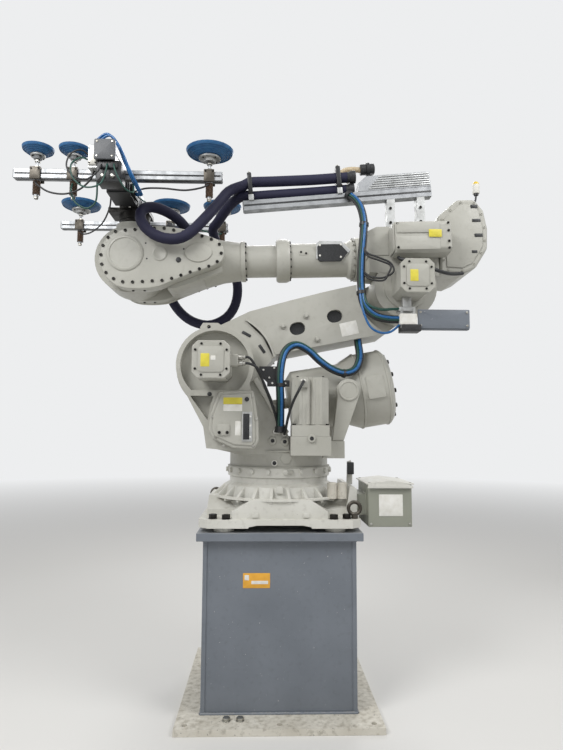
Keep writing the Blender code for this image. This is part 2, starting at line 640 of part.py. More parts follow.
def railPoint(t, lift=0.0):
    (x0, z0), (x1, z1) = RAIL_LEFT, RAIL_RIGHT
    length = math.hypot(x1 - x0, z1 - z0)
    ux, uz = (x1 - x0) / length, (z1 - z0) / length
    return (x0 + ux * t - uz * lift, z0 + uz * t + ux * lift)


def alongRail(t0, t1, low, high):
    return [railPoint(t0, low), railPoint(t1, low), railPoint(t1, high), railPoint(t0, high)]


def hoseRail():
    (x0, z0), (x1, z1) = RAIL_LEFT, RAIL_RIGHT
    length = math.hypot(x1 - x0, z1 - z0)
    h = RAIL / 2
    rail = prism(alongRail(0, length, -h, h), "Y", RAIL_Y - h, RAIL_Y + h)
    start = length - 0.400
    ribs = [(railPoint(start, h + GAP)), (railPoint(length, h + GAP))]
    outline = ribs + [railPoint(length, h + GAP + BOX_H), railPoint(start + 0.050, h + GAP + BOX_H),
                      railPoint(start, h + GAP + BOX_H * 0.55)]
    box1 = prism(outline, "Y", RAIL_Y - h, RAIL_Y + 0.170)
    finish("ribbed_box", box1, "upper", ALU, 0.9, 0.4)
    for name, x in (("rail_bracket_front", AXIS3_X - 0.062), ("rail_bracket_rear", AXIS3_X + 0.103)):
        t = (x - x0) / math.cos(math.atan2(z1 - z0, x1 - x0))
        topL, topR = railPoint(t - 0.022, -h - GAP), railPoint(t + 0.022, -h - GAP)
        feet = []
        for px in (topL[0], topR[0]):
            drop = (AXIS3_X - px) * math.tan(math.radians(ARM_TILT))
            feet.append((px, LINE_Z + 0.118 / math.cos(math.radians(ARM_TILT)) - drop + GAP))
        post = prism([feet[0], feet[1], topR, topL], "Y", -0.127, -0.073)
        finish(name, post, "upper", ALU, 0.9, 0.4)
    blocks = []
    direction = Vector((x1 - x0, 0, z1 - z0)).normalized()
    for name, t in (("hose_clamp_front", 0.045), ("hose_clamp_rear", 0.530)):
        blocks.append(prism(alongRail(t - 0.015, t + 0.015, h - 0.01, h + 0.003),
                            "Y", RAIL_Y - 0.020, RAIL_Y + 0.020))
        ring = prism(alongRail(t - 0.012, t + 0.012, h + 0.003 + GAP, h + 0.103), "Y",
                     RAIL_Y - 0.036, RAIL_Y + 0.100)
        upper = railPoint(t, HOSE_HIGH)
        lower = railPoint(t, HOSE_LOW)
        bores = [cylinder((upper[0], HOSE_Y1, upper[1]), direction, HOSE_R + 0.0018, -0.05, 0.05, 24),
                 cylinder((lower[0], HOSE_Y2, lower[1]), direction, HOSE_R + 0.0018, -0.05, 0.05, 24)]
        finish(name, cut(ring, *bores), "upper", BLACK)
    finish("hose_rail", union(rail, *blocks), "upper", ALU, 0.9, 0.35)


def wristUnits():
    x5, z4 = LOCAL5_X, LINE_Z
    x3 = AXIS3_X
    tube = lathe([(0, x3 - FRONT_END + GAP), (TUBE_R, x3 - FRONT_END + GAP), (TUBE_R, x3 - 0.290),
                  (0.108, x3 - 0.275), (0.108, x3 - 0.247 - RUN), (0, x3 - 0.247 - RUN)],
                 (0, 0, z4), (1, 0, 0), 36)
    finish("front_tube", onArm(tube), "wrist", CAST)
    span = FRONT_END - 0.290
    side = [(-0.2524, -0.036), (-0.2082, -0.048), (0.1451, -0.048), (0.2713, 0.0), (0.1451, 0.048),
            (-0.2082, 0.048), (-0.2524, 0.036)]
    cx = x3 - 0.290 - 0.2808 * span
    plate = prism([(cx + a * span, z4 + 0.012 + b) for a, b in side], "Y", -TUBE_R - 0.012, -TUBE_R - GAP)
    finish("tube_hatch", onArm(plate), "wrist", BLACK)
    ring = lathe([(0, x3 - FRONT_END - 0.075), (0.118, x3 - FRONT_END - 0.075),
                  (FLANGE_R, x3 - FRONT_END - 0.061), (FLANGE_R, x3 - FRONT_END - 0.018),
                  (0.122, x3 - FRONT_END), (0, x3 - FRONT_END)], (0, 0, z4), (1, 0, 0), 36)
    ext = cylinder((0, 0, z4), (1, 0, 0), EXT_R, x3 - EXT_END + GAP, x3 - FRONT_END - 0.068, 36)
    finish("extension_tube", onArm(union(ring, ext)), "wrist", CAST)
    neck = lathe([(0, x5 + 0.400), (0.145, x5 + 0.400), (0.128, x5 + 0.500), (0.118, x3 - EXT_END - 0.022),
                  (0.126, x3 - EXT_END - 0.020), (0.126, x3 - EXT_END),
                  (0, x3 - EXT_END)], (0, 0, z4), (1, 0, 0), 36)
    middle = prism([(x5 + 0.205, z4 - 0.190), (x5 + 0.250, z4 - 0.192), (x5 + 0.420, z4 - 0.150),
                    (x5 + 0.500, z4 - 0.105), (x5 + 0.500, z4 + 0.080), (x5 + 0.400, z4 + 0.125),
                    (x5 + 0.300, z4 + 0.148),
                    (x5 + 0.205, z4 + 0.060)], "Y", -CHEEK_IN - 0.01, CHEEK_IN + 0.01)
    outline = [(-0.144, 0.005), (-0.122, 0.086), (-0.050, 0.137), (0.0, 0.152), (0.1255, 0.154),
               (0.407, 0.089),
               (0.483, 0.055), (0.509, -0.002), (0.465, -0.063), (0.212, -0.150), (0.0, -0.152),
               (-0.030, -0.148), (-0.127, -0.058)]
    inner = [(x5 + a * 0.97, z4 + b * 0.97) for a, b in outline]
    near = prism(inner, "Y", -CHEEK_OUT, -CHEEK_IN)
    far = prism(inner, "Y", CHEEK_IN, CHEEK_OUT)
    housing = union(middle, neck, near, far)
    finish("wrist_housing", onArm(housing), "wrist", CAST)
    for name, s in (("wrist_cover_near", -1), ("wrist_cover_far", 1)):
        low, high = min(s * WRIST_COVER, s * (CHEEK_OUT + GAP)), max(s * WRIST_COVER, s * (CHEEK_OUT + GAP))
        cover = prism([(x5 + a, z4 + b) for a, b in outline], "Y", low, high)
        cap = cylinder((x5, s * (WRIST_COVER - 0.004), z4), (0, s, 0), CAP5_R, 0, 0.012, 32)
        finish(name, onArm(union(cover, cap)), "wrist", CAST)


def tiltAndTool():
    x, z = AXIS5_X, AXIS5_Z
    drum = cylinder((x, 0, z), (0, 1, 0), HEAD_R, -CHEEK_IN + RUN, CHEEK_IN - RUN, 40)
    neck = cylinder((x, 0, z), (0, 0, 1), 0.100, 0.100, FLANGE6_Z - 0.006, 32)
    finish("tilt_head", union(drum, neck), "tilt", CAST)
    f = z + FLANGE6_Z
    barLow = BAR_Z - BAR / 2
    beamLow = BAR_Z + BAR / 2 + GAP
    flange = cylinder((x, 0, f), (0, 0, 1), 0.080, -0.006 + RUN, 0.024, 32)
    changer = cylinder((x, 0, f), (0, 0, 1), 0.085, 0.020, 0.062, 28)
    plate = box(x - 0.130, x + 0.090, -0.075, 0.075, f + 0.055, f + 0.080)
    riser = box(BEAM_X - 0.040, BEAM_X + 0.060, -0.060, 0.060, f + 0.070, beamLow - GAP)
    finish("tool_adapter", union(flange, changer, plate, riser), "tool", BLACK)
    beam = box(BEAM_X - BEAM / 2, BEAM_X + BEAM / 2, -0.490, 0.430, beamLow, beamLow + BEAM)
    cap = box(BEAM_X - BEAM / 2 - 0.008, BEAM_X + BEAM / 2 + 0.008, -0.502, -0.489,
              beamLow - 0.008, beamLow + BEAM + 0.008)
    finish("cross_beam", union(beam, cap), "tool", ALU, 0.9, 0.35)
    body = box(BEAM_X - 0.046, BEAM_X + 0.070, -0.300, -0.120, beamLow - 0.085, beamLow - GAP)
    finish("vacuum_unit", body, "tool", BLACK)
    valve = box(BEAM_X - BEAM / 2 - GAP - 0.046, BEAM_X - BEAM / 2 - GAP, -0.480, -0.400,
                beamLow - 0.040, beamLow + 0.074)
    finish("valve_block", valve, "tool", ALU, 0.8, 0.5)
    top = BAR_Z + BAR / 2
    rows = (("near", NEAR_Y, x - 0.0026, ((-0.3954, SMALL_CUP_R), (-0.2184, SMALL_CUP_R), (0.4392, CUP_R))),
            ("far", FAR_Y, x - 0.0211, ((-0.3901, CUP_R), (0.1547, CUP_R), (0.4660, CUP_R))))
    for side, y, centre, places in rows:
        bar = box(centre - BAR_L / 2, centre + BAR_L / 2, y - BAR / 2, y + BAR / 2, barLow, barLow + BAR)
        parts = []
        for number, (share, r) in enumerate(places):
            cx = centre + share * BAR_L
            cup = lathe([(0, 0.004), (0.030, 0.004), (r * 0.62, 0.010), (r * 0.96, 0.030), (r, 0.040),
                         (r * 0.965, 0.040), (r * 0.6, 0.018), (0, 0.012)], (cx, y, CUP_Z), (0, 0, 1), 28)
            finish("cup_" + side + "_" + "abc"[number], cup, "tool", BLUE)
            parts.append(lathe([(0, top - 0.01), (0.0219, top - 0.01), (0.0219, top + 0.010),
                                (0.008, top + 0.012),
                                (0.008, CUP_Z - 0.022), (0.020, CUP_Z - 0.020), (0.026, CUP_Z - 0.004),
                                (0.050 * r / CUP_R, CUP_Z), (0.050 * r / CUP_R, CUP_Z + 0.004 - GAP),
                                (0, CUP_Z + 0.004 - GAP)], (cx, y, 0), (0, 0, 1), 14))
            parts.append(lathe([(0, barLow - 0.090), (0.012, barLow - 0.090), (0.012, barLow - 0.072),
                                (0.014, barLow - 0.070), (0.014, barLow - 0.012), (0.019, barLow - 0.010),
                                (0.019, barLow + 0.01), (0, barLow + 0.01)], (cx, y, 0), (0, 0, 1), 12))
        finish(side + "_bar", union(bar, *parts), "tool", ALU, 0.9, 0.35)


def between(start, end, knots):
    """Knots (share, dx, y, dz), each counted from that share of the way from start to end."""
    points = []
    for share, dx, y, dz in knots:
        x = start[0] + (end[0] - start[0]) * share + dx
        z = start[1] + (end[1] - start[1]) * share + dz
        points.append((x, y, z))
    return points


def dressing():
    """The navy hoses from the rail to the tool, and the cable bundles that follow the joints."""
    high = [railPoint(t, HOSE_HIGH) for t in (0.620, 0.500, 0.380, 0.260, 0.150, 0.050, -0.035)]
    front = [(x, HOSE_Y1, z) for x, z in high]
    front += between(RAIL_LEFT, (AXIS5_X, AXIS5_Z), [
        (0.1, -0.0288, -0.1250, 0.1060), (0.2, -0.0226, -0.1500, 0.0904), (0.35, 0.0142, -0.2050, 0.0046),
        (0.5, 0.0260, -0.2450, -0.0362), (0.65, 0.0377, -0.2570, -0.0270), (0.8, 0.0395, -0.2570, 0.0322),
        (0.9, 0.0257, -0.2500, 0.1216), (1, 0.0599, -0.2150, 0.2161), (1, 0.0919, -0.1500, 0.2711),
        (1, 0.1719, -0.0800, 0.2811), (1, 0.2369, 0.0000, 0.2361), (1, 0.2519, 0.0800, 0.2011),
        (1, 0.2119, 0.1500, 0.2061), (1, 0.1419, 0.1550, 0.2511), (1, 0.0969, 0.1100, 0.2711)])
    low = [railPoint(t, HOSE_LOW) for t in (0.610, 0.500, 0.380, 0.260, 0.150, 0.050, -0.035)]
    back = [(x, HOSE_Y2, z) for x, z in low]
    back += between(RAIL_LEFT, (AXIS5_X, AXIS5_Z), [
        (0.1, -0.0268, 0.0150, 0.0760), (0.2, -0.0026, 0.0900, 0.0504), (0.25, 0.0330, 0.1800, -0.0549),
        (0.25, 0.0780, 0.2350, -0.1949), (0.25, 0.1130, 0.2450, -0.3449), (0.3, 0.1036, 0.2450, -0.4501),
        (0.4, 0.0748, 0.2450, -0.4707), (0.55, 0.0566, 0.2450, -0.4115), (0.7, 0.0583, 0.2500, -0.2823),
        (0.85, 0.0901, 0.2550, -0.1081), (1, 0.1319, 0.2620, 0.0761), (1, 0.0719, 0.2450, 0.1961),
        (1, 0.0119, 0.1800, 0.2561), (1, -0.0181, 0.1100, 0.2711)])
    hoses("hose_front", [(front, HOSE_R)], "upper", NAVY)
    hoses("hose_back", [(back, HOSE_R)], "upper", NAVY)
    shoulder = (AXIS2_X, AXIS2_Z)
    elbow = (AXIS3_X, AXIS3_Z)
    low = between(shoulder, elbow, [
        (0, 0.3360, -0.2900, -0.3240), (0, 0.3380, -0.3050, -0.1740), (0, 0.3360, -0.3100, -0.0140),
        (0.15, 0.2277, -0.2850, 0.0504), (0.3, 0.1754, -0.2450, -0.0102), (0.45, 0.1281, -0.2250, -0.1408),
        (0.6, 0.0708, -0.2150, -0.2463), (0.7, 0.0426, -0.2000, -0.2601), (0.75, 0.0155, -0.1800, -0.2119),
        (0.76, -0.0064, -0.1681, -0.1363)])
    hoses("shoulder_cables", [(low, 0.018)], "lower", BLACK)
    up = between(shoulder, elbow, [
        (0.76, -0.0064, -0.1681, -0.1283), (0.85, -0.1068, -0.1900, -0.0757),
        (0.95, -0.2150, -0.2350, 0.0006),
        (1, -0.2641, -0.2550, 0.1088), (1, -0.2601, -0.2450, 0.2488), (1, -0.2621, -0.2000, 0.3888),
        (1, -0.2741, -0.1500, 0.4888)])
    hoses("elbow_cables", [(up, 0.018)], "upper", BLACK)
    motor = between(shoulder, elbow, [
        (0, 0.1211, -0.4700, 0.0070), (0, 0.1300, -0.4700, 0.0070), (0, 0.1500, -0.4700, 0.0070),
        (0, 0.1840, -0.4560, -0.0140), (0, 0.2350, -0.4000, -0.1090), (0, 0.2700, -0.3300, -0.2140),
        (0, 0.2840, -0.2696, -0.3240)])
    hoses("motor_cables", [(motor, 0.014)], "frame", BLACK)


pedestal()
baseCasting()
frameCasting()
frameUnits()
balancer()
lowerArm()
upperArm()
hoseRail()
wristUnits()
tiltAndTool()
dressing()
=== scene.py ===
import json
import math

import bmesh
import bpy
import numpy as np
from mathutils import Matrix, Vector

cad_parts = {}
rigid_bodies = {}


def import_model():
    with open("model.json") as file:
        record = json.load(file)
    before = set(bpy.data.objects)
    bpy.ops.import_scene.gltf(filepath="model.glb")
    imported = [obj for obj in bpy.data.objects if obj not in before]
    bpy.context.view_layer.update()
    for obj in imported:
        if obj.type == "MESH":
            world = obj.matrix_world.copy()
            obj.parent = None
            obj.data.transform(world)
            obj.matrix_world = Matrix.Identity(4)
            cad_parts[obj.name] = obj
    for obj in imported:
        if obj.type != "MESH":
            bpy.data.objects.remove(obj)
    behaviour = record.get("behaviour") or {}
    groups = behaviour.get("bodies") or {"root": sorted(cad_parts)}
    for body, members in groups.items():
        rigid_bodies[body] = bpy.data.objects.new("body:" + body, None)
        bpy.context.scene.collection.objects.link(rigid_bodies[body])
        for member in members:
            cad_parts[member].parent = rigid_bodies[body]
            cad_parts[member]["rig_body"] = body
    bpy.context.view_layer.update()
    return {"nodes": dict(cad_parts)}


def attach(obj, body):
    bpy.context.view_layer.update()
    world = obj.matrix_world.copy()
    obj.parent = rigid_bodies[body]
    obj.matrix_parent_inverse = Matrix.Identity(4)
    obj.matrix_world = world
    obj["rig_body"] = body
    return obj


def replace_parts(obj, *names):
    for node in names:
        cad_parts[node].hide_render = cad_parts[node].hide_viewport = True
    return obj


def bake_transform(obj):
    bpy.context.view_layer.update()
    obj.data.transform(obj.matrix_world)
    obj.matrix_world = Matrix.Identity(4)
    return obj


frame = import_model()
print("frame loaded:", len(frame["nodes"]), "nodes")

# where the joints are, in metres, as in the part's source
axis2 = np.array([-0.320, 0.0, 1.654])
axis3 = np.array([0.66206, 0.0, 2.09124])
lineZ = 2.30024
armTilt = math.radians(1.8)
reach = 1.4747
axis5 = np.array([axis3[0] - reach * math.cos(armTilt), 0.0, lineZ - reach * math.sin(armTilt)])
sketch5 = axis3[0] - reach
trunnion = np.array([0.345, 0.0, 1.538])
gap = 0.0002  # keeps a small part clear of the face that it stands on


# sRGB hex to linear, one channel at a time
def tone(code):
    parts = [int(code[i:i + 2], 16) / 255 for i in (1, 3, 5)]
    return tuple(c / 12.92 if c <= 0.04045 else ((c + 0.055) / 1.055) ** 2.4 for c in parts) + (1.0,)


def addNode(tree, kind, sockets=None, **settings):
    node = tree.nodes.new(kind)
    for key, value in settings.items():
        setattr(node, key, value)
    for key, value in (sockets or {}).items():
        if isinstance(value, bpy.types.NodeSocket):
            tree.links.new(value, node.inputs[key])
        else:
            node.inputs[key].default_value = value
    return node


# a profile of (radius, height) carried round the upright axis, one column of the grid for each side
def turned(profile, sides):
    radius, height = np.array(profile, float).T
    angle = np.linspace(0, 2 * np.pi, sides, endpoint=False)
    return np.stack([radius[:, None] * np.cos(angle), radius[:, None] * np.sin(angle),
                     np.repeat(height[:, None], sides, 1)], -1)


# an outline moved inwards by a mitred step: each corner goes along the sum of its two edge normals
def inset(outline, step):
    line = np.array(outline, float)
    ahead = np.roll(line, -1, 0) - line
    normal = np.stack([ahead[:, 1], -ahead[:, 0]], -1)
    normal /= np.linalg.norm(normal, axis=1)[:, None] + 1e-12
    before = np.roll(normal, 1, 0)
    both = normal + before
    return line - step * both / (1 + (normal * before).sum(1))[:, None].clip(0.3)


# an outline carried straight up from low to high, its rims a quarter round of radius edge
def drawn(outline, low, high, edge=0.0015, steps=3):
    line = np.array(outline, float)
    if (line[:, 0] * np.roll(line[:, 1], -1) - np.roll(line[:, 0], -1) * line[:, 1]).sum() < 0:
        line = line[::-1]
    turn = np.linspace(0, np.pi / 2, steps + 1)
    rings = [(edge * (1 - math.sin(t)), low + edge * (1 - math.cos(t))) for t in turn]
    rings += [(edge * (1 - math.cos(t)), high - edge * (1 - math.sin(t))) for t in turn]
    return np.stack([np.column_stack([inset(line, i), np.full(len(line), h)]) for i, h in rings])


# a rectangle with corners of radius r, n points to a corner
def rounded(width, height, r, n=5, at=(0, 0)):
    a = np.linspace(0, np.pi / 2, n)
    corners = [(width / 2 - r, height / 2 - r, 0), (-width / 2 + r, height / 2 - r, 1),
               (-width / 2 + r, -height / 2 + r, 2), (width / 2 - r, -height / 2 + r, 3)]
    return np.concatenate([np.column_stack([at[0] + x + r * np.cos(a + k * np.pi / 2),
                                            at[1] + z + r * np.sin(a + k * np.pi / 2)]) for x, z,
                           k in corners])


def ring(radius, count=24, at=(0, 0)):  # points evenly round a circle
    a = np.linspace(0, 2 * np.pi, count, endpoint=False)
    return np.column_stack([at[0] + radius * np.cos(a), at[1] + radius * np.sin(a)])


# a grid moved so that its own x, y and z run along three directions from a point
def setAt(grid, at, along=(1, 0, 0), across=(0, 1, 0), up=(0, 0, 1)):
    return np.array(at) + grid[..., :1] * np.array(along) + grid[..., 1:2] * np.array(across) \
        + grid[..., 2:] * np.array(up)


def nearFace(grid, x, y, z):  # stands on a face that looks to the camera's side
    return setAt(grid, (x, y, z), (1, 0, 0), (0, 0, 1), (0, -1, 0))


def farFace(grid, x, y, z):
    return setAt(grid, (x, y, z), (-1, 0, 0), (0, 0, 1), (0, 1, 0))


def aim(grid, at, direction):  # its z axis turned to a direction
    m = np.array(Vector((0, 0, 1)).rotation_difference(Vector(direction)).to_matrix())
    return grid @ m.T + np.array(at)


def onArm(grid):  # from the level sketch of the upper arm to its drooping line
    c, s = math.cos(armTilt), math.sin(armTilt)
    dx, dz = grid[..., 0] - axis3[0], grid[..., 2] - lineZ
    return np.stack([axis3[0] + dx * c - dz * s, grid[..., 1], lineZ + dx * s + dz * c], -1)


# the cubic from b to c at the shares t. At b it leans along a to c, and at c along b to d
def cubic(a, b, c, d, t):
    lean, bow, twist = c - a, 2 * a - 5 * b + 4 * c - d, 3 * b - a - 3 * c + d
    return 0.5 * (2 * b + lean * t + bow * t ** 2 + twist * t ** 3)


# a smooth line through knots, at an even spacing
def throughKnots(knots, spacing):
    k = np.array(knots, float)
    k = np.vstack([2 * k[0] - k[1], k, 2 * k[-1] - k[-2]])
    t = np.linspace(0, 1, 24, endpoint=False)[:, None, None]
    fine = cubic(k[:-3], k[1:-2], k[2:-1], k[3:], t)
    fine = np.vstack([fine.transpose(1, 0, 2).reshape(-1, 3), k[-2]])
    walked = np.concatenate([[0], np.cumsum(np.linalg.norm(np.diff(fine, axis=0), axis=1))])
    count = max(4, int(round(walked[-1] / spacing)) + 1)
    wanted = np.linspace(0, walked[-1], count)
    return np.column_stack([np.interp(wanted, walked, fine[:, i]) for i in range(3)])


def sideways(line):  # two directions square to a line, carried along it without twisting
    ahead = np.gradient(line, axis=0)
    ahead /= np.linalg.norm(ahead, axis=1)[:, None]
    first = np.cross(ahead[0], (0.3, 1, 0.2))
    found = [first / np.linalg.norm(first)]
    for t in ahead[1:]:
        n = found[-1] - t * found[-1].dot(t)
        found.append(n / np.linalg.norm(n))
    found = np.array(found)
    return found, np.cross(ahead, found)


# a circle carried along a line; the radius may change from point to point
def tube(line, radius, sides=12):
    n, b = sideways(line)
    a = np.linspace(0, 2 * np.pi, sides, endpoint=False)
    r = np.broadcast_to(np.asarray(radius, float), (len(line),))[:, None, None]
    return line[:, None] + r * (np.cos(a)[None, :, None] * n[:, None] + np.sin(a)[None, :, None] * b[:, None])


def piece(name, grids, finish, body, crease=32):
    points, quads, tris, start = [], [], [], 0
    for g in grids:
        u, v = g.shape[:2]
        points += [g.reshape(-1, 3), g[:1].mean(1), g[-1:].mean(1)]
        i, j = np.meshgrid(np.arange(u - 1), np.arange(v), indexing="ij")
        k = (j + 1) % v
        quads.append((start + np.stack([i * v + j, i * v + k, (i + 1) * v + k, (i + 1) * v + j],
                                       -1)).reshape(-1, 4))
        j = np.arange(v)
        k = (j + 1) % v
        end = start + (u - 1) * v
        tris.append(np.stack([start + k, start + j, np.full(v, start + u * v)], -1))
        tris.append(np.stack([end + j, end + k, np.full(v, start + u * v + 1)], -1))
        start += u * v + 2
    mesh = bpy.data.meshes.new(name)
    mesh.from_pydata(np.concatenate(points).tolist(), [],
                     np.concatenate(quads).tolist() + np.concatenate(tris).tolist())
    bm = bmesh.new()
    bm.from_mesh(mesh)
    bmesh.ops.remove_doubles(bm, verts=bm.verts, dist=2e-6)
    bmesh.ops.dissolve_degenerate(bm, edges=bm.edges, dist=1e-6)
    bmesh.ops.recalc_face_normals(bm, faces=bm.faces)
    bm.to_mesh(mesh)
    bm.free()
    return made(name, mesh, finish, body, crease)


def made(name, mesh, finish, body, crease):
    mesh.polygons.foreach_set("use_smooth", np.ones(len(mesh.polygons), bool))
    mesh.set_sharp_from_angle(angle=math.radians(crease))
    mesh.materials.clear()
    mesh.materials.append(finish)
    ob = bpy.data.objects.new(name, mesh)
    bpy.context.scene.collection.objects.link(ob)
    if body:
        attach(ob, body)
    return ob


# a copy of a solid from the frame, merged, its sharp rims rounded as on a casting or a milled block
def softened(node, finish, width=0.004, segments=3, angle=30):
    source = frame["nodes"][node]
    bm = bmesh.new()
    bm.from_mesh(source.data)
    bmesh.ops.remove_doubles(bm, verts=bm.verts, dist=1e-5)
    bmesh.ops.dissolve_limit(bm, angle_limit=math.radians(1), verts=bm.verts, edges=bm.edges)
    mesh = bpy.data.meshes.new(node + ".shell")
    bm.to_mesh(mesh)
    bm.free()
    ob = made(node + ".shell", mesh, finish, source["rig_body"], angle)
    rim = ob.modifiers.new("rim", "BEVEL")
    rim.width = width
    rim.segments = segments
    rim.limit_method = "ANGLE"
    rim.angle_limit = math.radians(angle)
    rim.use_clamp_overlap = True
    rim.harden_normals = True
    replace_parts(ob, node)
    return ob


# every one starts from the same coordinates: the object's own, in metres
def newFinish(name, roughness, metallic=0.0, ior=1.5):
    material = bpy.data.materials.new(name)
    material.use_nodes = True
    tree = material.node_tree
    shader = tree.nodes["Principled BSDF"]
    shader.inputs["Metallic"].default_value = metallic
    shader.inputs["Roughness"].default_value = roughness
    if not metallic:
        shader.inputs["IOR"].default_value = ior
    where = addNode(tree, "ShaderNodeTexCoord").outputs["Object"]
    return material, tree, shader, where


def blended(tree, share, first, second):  # colour: first where share is 0, second where it is 1
    return addNode(tree, "ShaderNodeMix", {0: share, 6: first, 7: second}, data_type="RGBA").outputs[2]


def ranged(tree, value, low, high, toLow=0.0, toHigh=1.0):
    return addNode(tree, "ShaderNodeMapRange", {"Value": value, "From Min": low, "From Max": high,
                                               "To Min": toLow, "To Max": toHigh}).outputs[0]


# two-pack enamel sprayed on cast iron: satin, with a fine orange peel over the slow waves of the casting,
# dust on what looks up, darker specks where it is knocked
def castEnamel(name, look):
    material, tree, shader, where = newFinish(name, look["rough"])
    cloud = addNode(tree, "ShaderNodeTexNoise", {"Vector": where, "Scale": 4.0, "Detail": 5.0}).outputs["Fac"]
    mottle = addNode(tree, "ShaderNodeTexNoise", {"Vector": where, "Scale": 38.0,
                                                  "Detail": 4.0}).outputs["Fac"]
    peel = addNode(tree, "ShaderNodeTexNoise", {"Vector": where, "Scale": 260.0,
                                                "Detail": 2.0}).outputs["Fac"]
    knock = addNode(tree, "ShaderNodeTexNoise", {"Vector": where, "Scale": 90.0, "Detail": 3.0,
                                                 "Roughness": 0.7}).outputs["Fac"]
    normal = addNode(tree, "ShaderNodeNewGeometry").outputs["Normal"]
    upward = addNode(tree, "ShaderNodeSeparateXYZ", {0: normal}).outputs["Z"]
    colour = blended(tree, ranged(tree, cloud, 0.35, 0.68), tone(look["paint"]), tone(look["shade"]))
    colour = blended(tree, ranged(tree, mottle, 0.55, 0.75, 0, look["mottle"]), colour, tone(look["grime"]))
    settled = addNode(tree, "ShaderNodeMath", {0: ranged(tree, upward, 0.5, 1.0),
                                               1: ranged(tree, mottle, 0.35, 0.65, 0, look["dust"])},
                      operation="MULTIPLY").outputs[0]
    colour = blended(tree, settled, colour, tone(look["dustTone"]))
    spots = ranged(tree, knock, look["chips"], look["chips"] + 0.02)
    colour = blended(tree, spots, colour, tone(look["under"]))
    tree.links.new(colour, shader.inputs["Base Color"])
    tree.links.new(ranged(tree, mottle, 0.3, 0.7, look["rough"] - 0.07, look["rough"] + 0.1),
                   shader.inputs["Roughness"])
    waves = addNode(tree, "ShaderNodeBump", {"Strength": look["waves"], "Distance": 0.002, "Height": mottle})
    skin = addNode(tree, "ShaderNodeBump", {"Strength": look["peel"], "Distance": 0.0004, "Height": peel,
                                            "Normal": waves.outputs[0]})
    tree.links.new(skin.outputs[0], shader.inputs["Normal"])
    return material


robotGrey = {"paint": "#B0AFA7", "shade": "#A6A59C", "grime": "#8E8B80", "mottle": 0.22, "dust": 0.3,
             "dustTone": "#A39F92", "chips": 0.735, "under": "#4A4640", "rough": 0.42, "waves": 0.12,
             "peel": 0.25}
baseWhite = dict(robotGrey, paint="#D2D1CA", shade="#C5C4BC", dust=0.4, dustTone="#B4AFA2", mottle=0.28)
pedestalSlate = {"paint": "#747A82", "shade": "#6B7179", "grime": "#595D62", "mottle": 0.25, "dust": 0.5,
                 "dustTone": "#A8A69F", "chips": 0.715, "under": "#C9C7C0", "rough": 0.46, "waves": 0.05,
                 "peel": 0.35}
plateCream = {"paint": "#D5D1C6", "shade": "#C4BFB2", "grime": "#8F897B", "mottle": 0.75, "dust": 0.6,
              "dustTone": "#A59F91", "chips": 0.66, "under": "#6D6A64", "rough": 0.6, "waves": 0.2,
              "peel": 0.3}
enamelGrey = castEnamel("casting enamel warm grey", robotGrey)
enamelWhite = castEnamel("casting enamel pale grey", baseWhite)
enamelSlate = castEnamel("steel enamel slate", pedestalSlate)
enamelCream = castEnamel("floor plate worn paint", plateCream)
boxGrey = castEnamel("junction box powder coat", dict(robotGrey, paint="#8E9084", shade="#85877C",
                                                      chips=0.76))


# moulded, rubbery or printed goods: one colour, broken by a fine grain
def moulded(name, body, worn, scale, rough, bump):
    material, tree, shader, where = newFinish(name, rough)
    grain = addNode(tree, "ShaderNodeTexNoise", {"Vector": where, "Scale": scale,
                                                 "Detail": 3.0}).outputs["Fac"]
    colour = blended(tree, ranged(tree, grain, 0.35, 0.7), tone(body), tone(worn))
    tree.links.new(colour, shader.inputs["Base Color"])
    tree.links.new(ranged(tree, grain, 0.3, 0.7, rough - 0.06, rough + 0.08), shader.inputs["Roughness"])
    skin = addNode(tree, "ShaderNodeBump", {"Strength": bump, "Distance": 0.0005, "Height": grain})
    tree.links.new(skin.outputs[0], shader.inputs["Normal"])
    return material


blackPlastic = moulded("moulded nylon black", "#17181A", "#2B2C2E", 180, 0.42, 0.3)
blackRubber = moulded("cable sheath black", "#121314", "#222325", 90, 0.5, 0.2)
greenCable = moulded("cable sheath green", "#123C33", "#1C4A40", 90, 0.5, 0.1)
blueHose = moulded("air line polyurethane blue", "#17568F", "#21639B", 60, 0.3, 0.05)
cupBlue = moulded("vacuum cup rubber blue", "#1E5382", "#2A628F", 40, 0.45, 0.1)
ductCream = moulded("suction duct cream", "#C9B99A", "#B7A587", 60, 0.5, 0.1)
paperWhite = moulded("label paper white", "#E4E3DE", "#D6D4CC", 30, 0.55, 0.05)
labelYellow = moulded("label vinyl yellow", "#D8CB47", "#C9BC42", 30, 0.4, 0.05)
labelOrange = moulded("label vinyl orange", "#E5A93C", "#D99D33", 30, 0.45, 0.05)
lampYellow = moulded("lamp lens yellow", "#D9B929", "#CBAA22", 30, 0.25, 0.02)
hoseNavy = moulded("woven hose jacket navy", "#0B0B28", "#131334", 260, 0.72, 0.6)


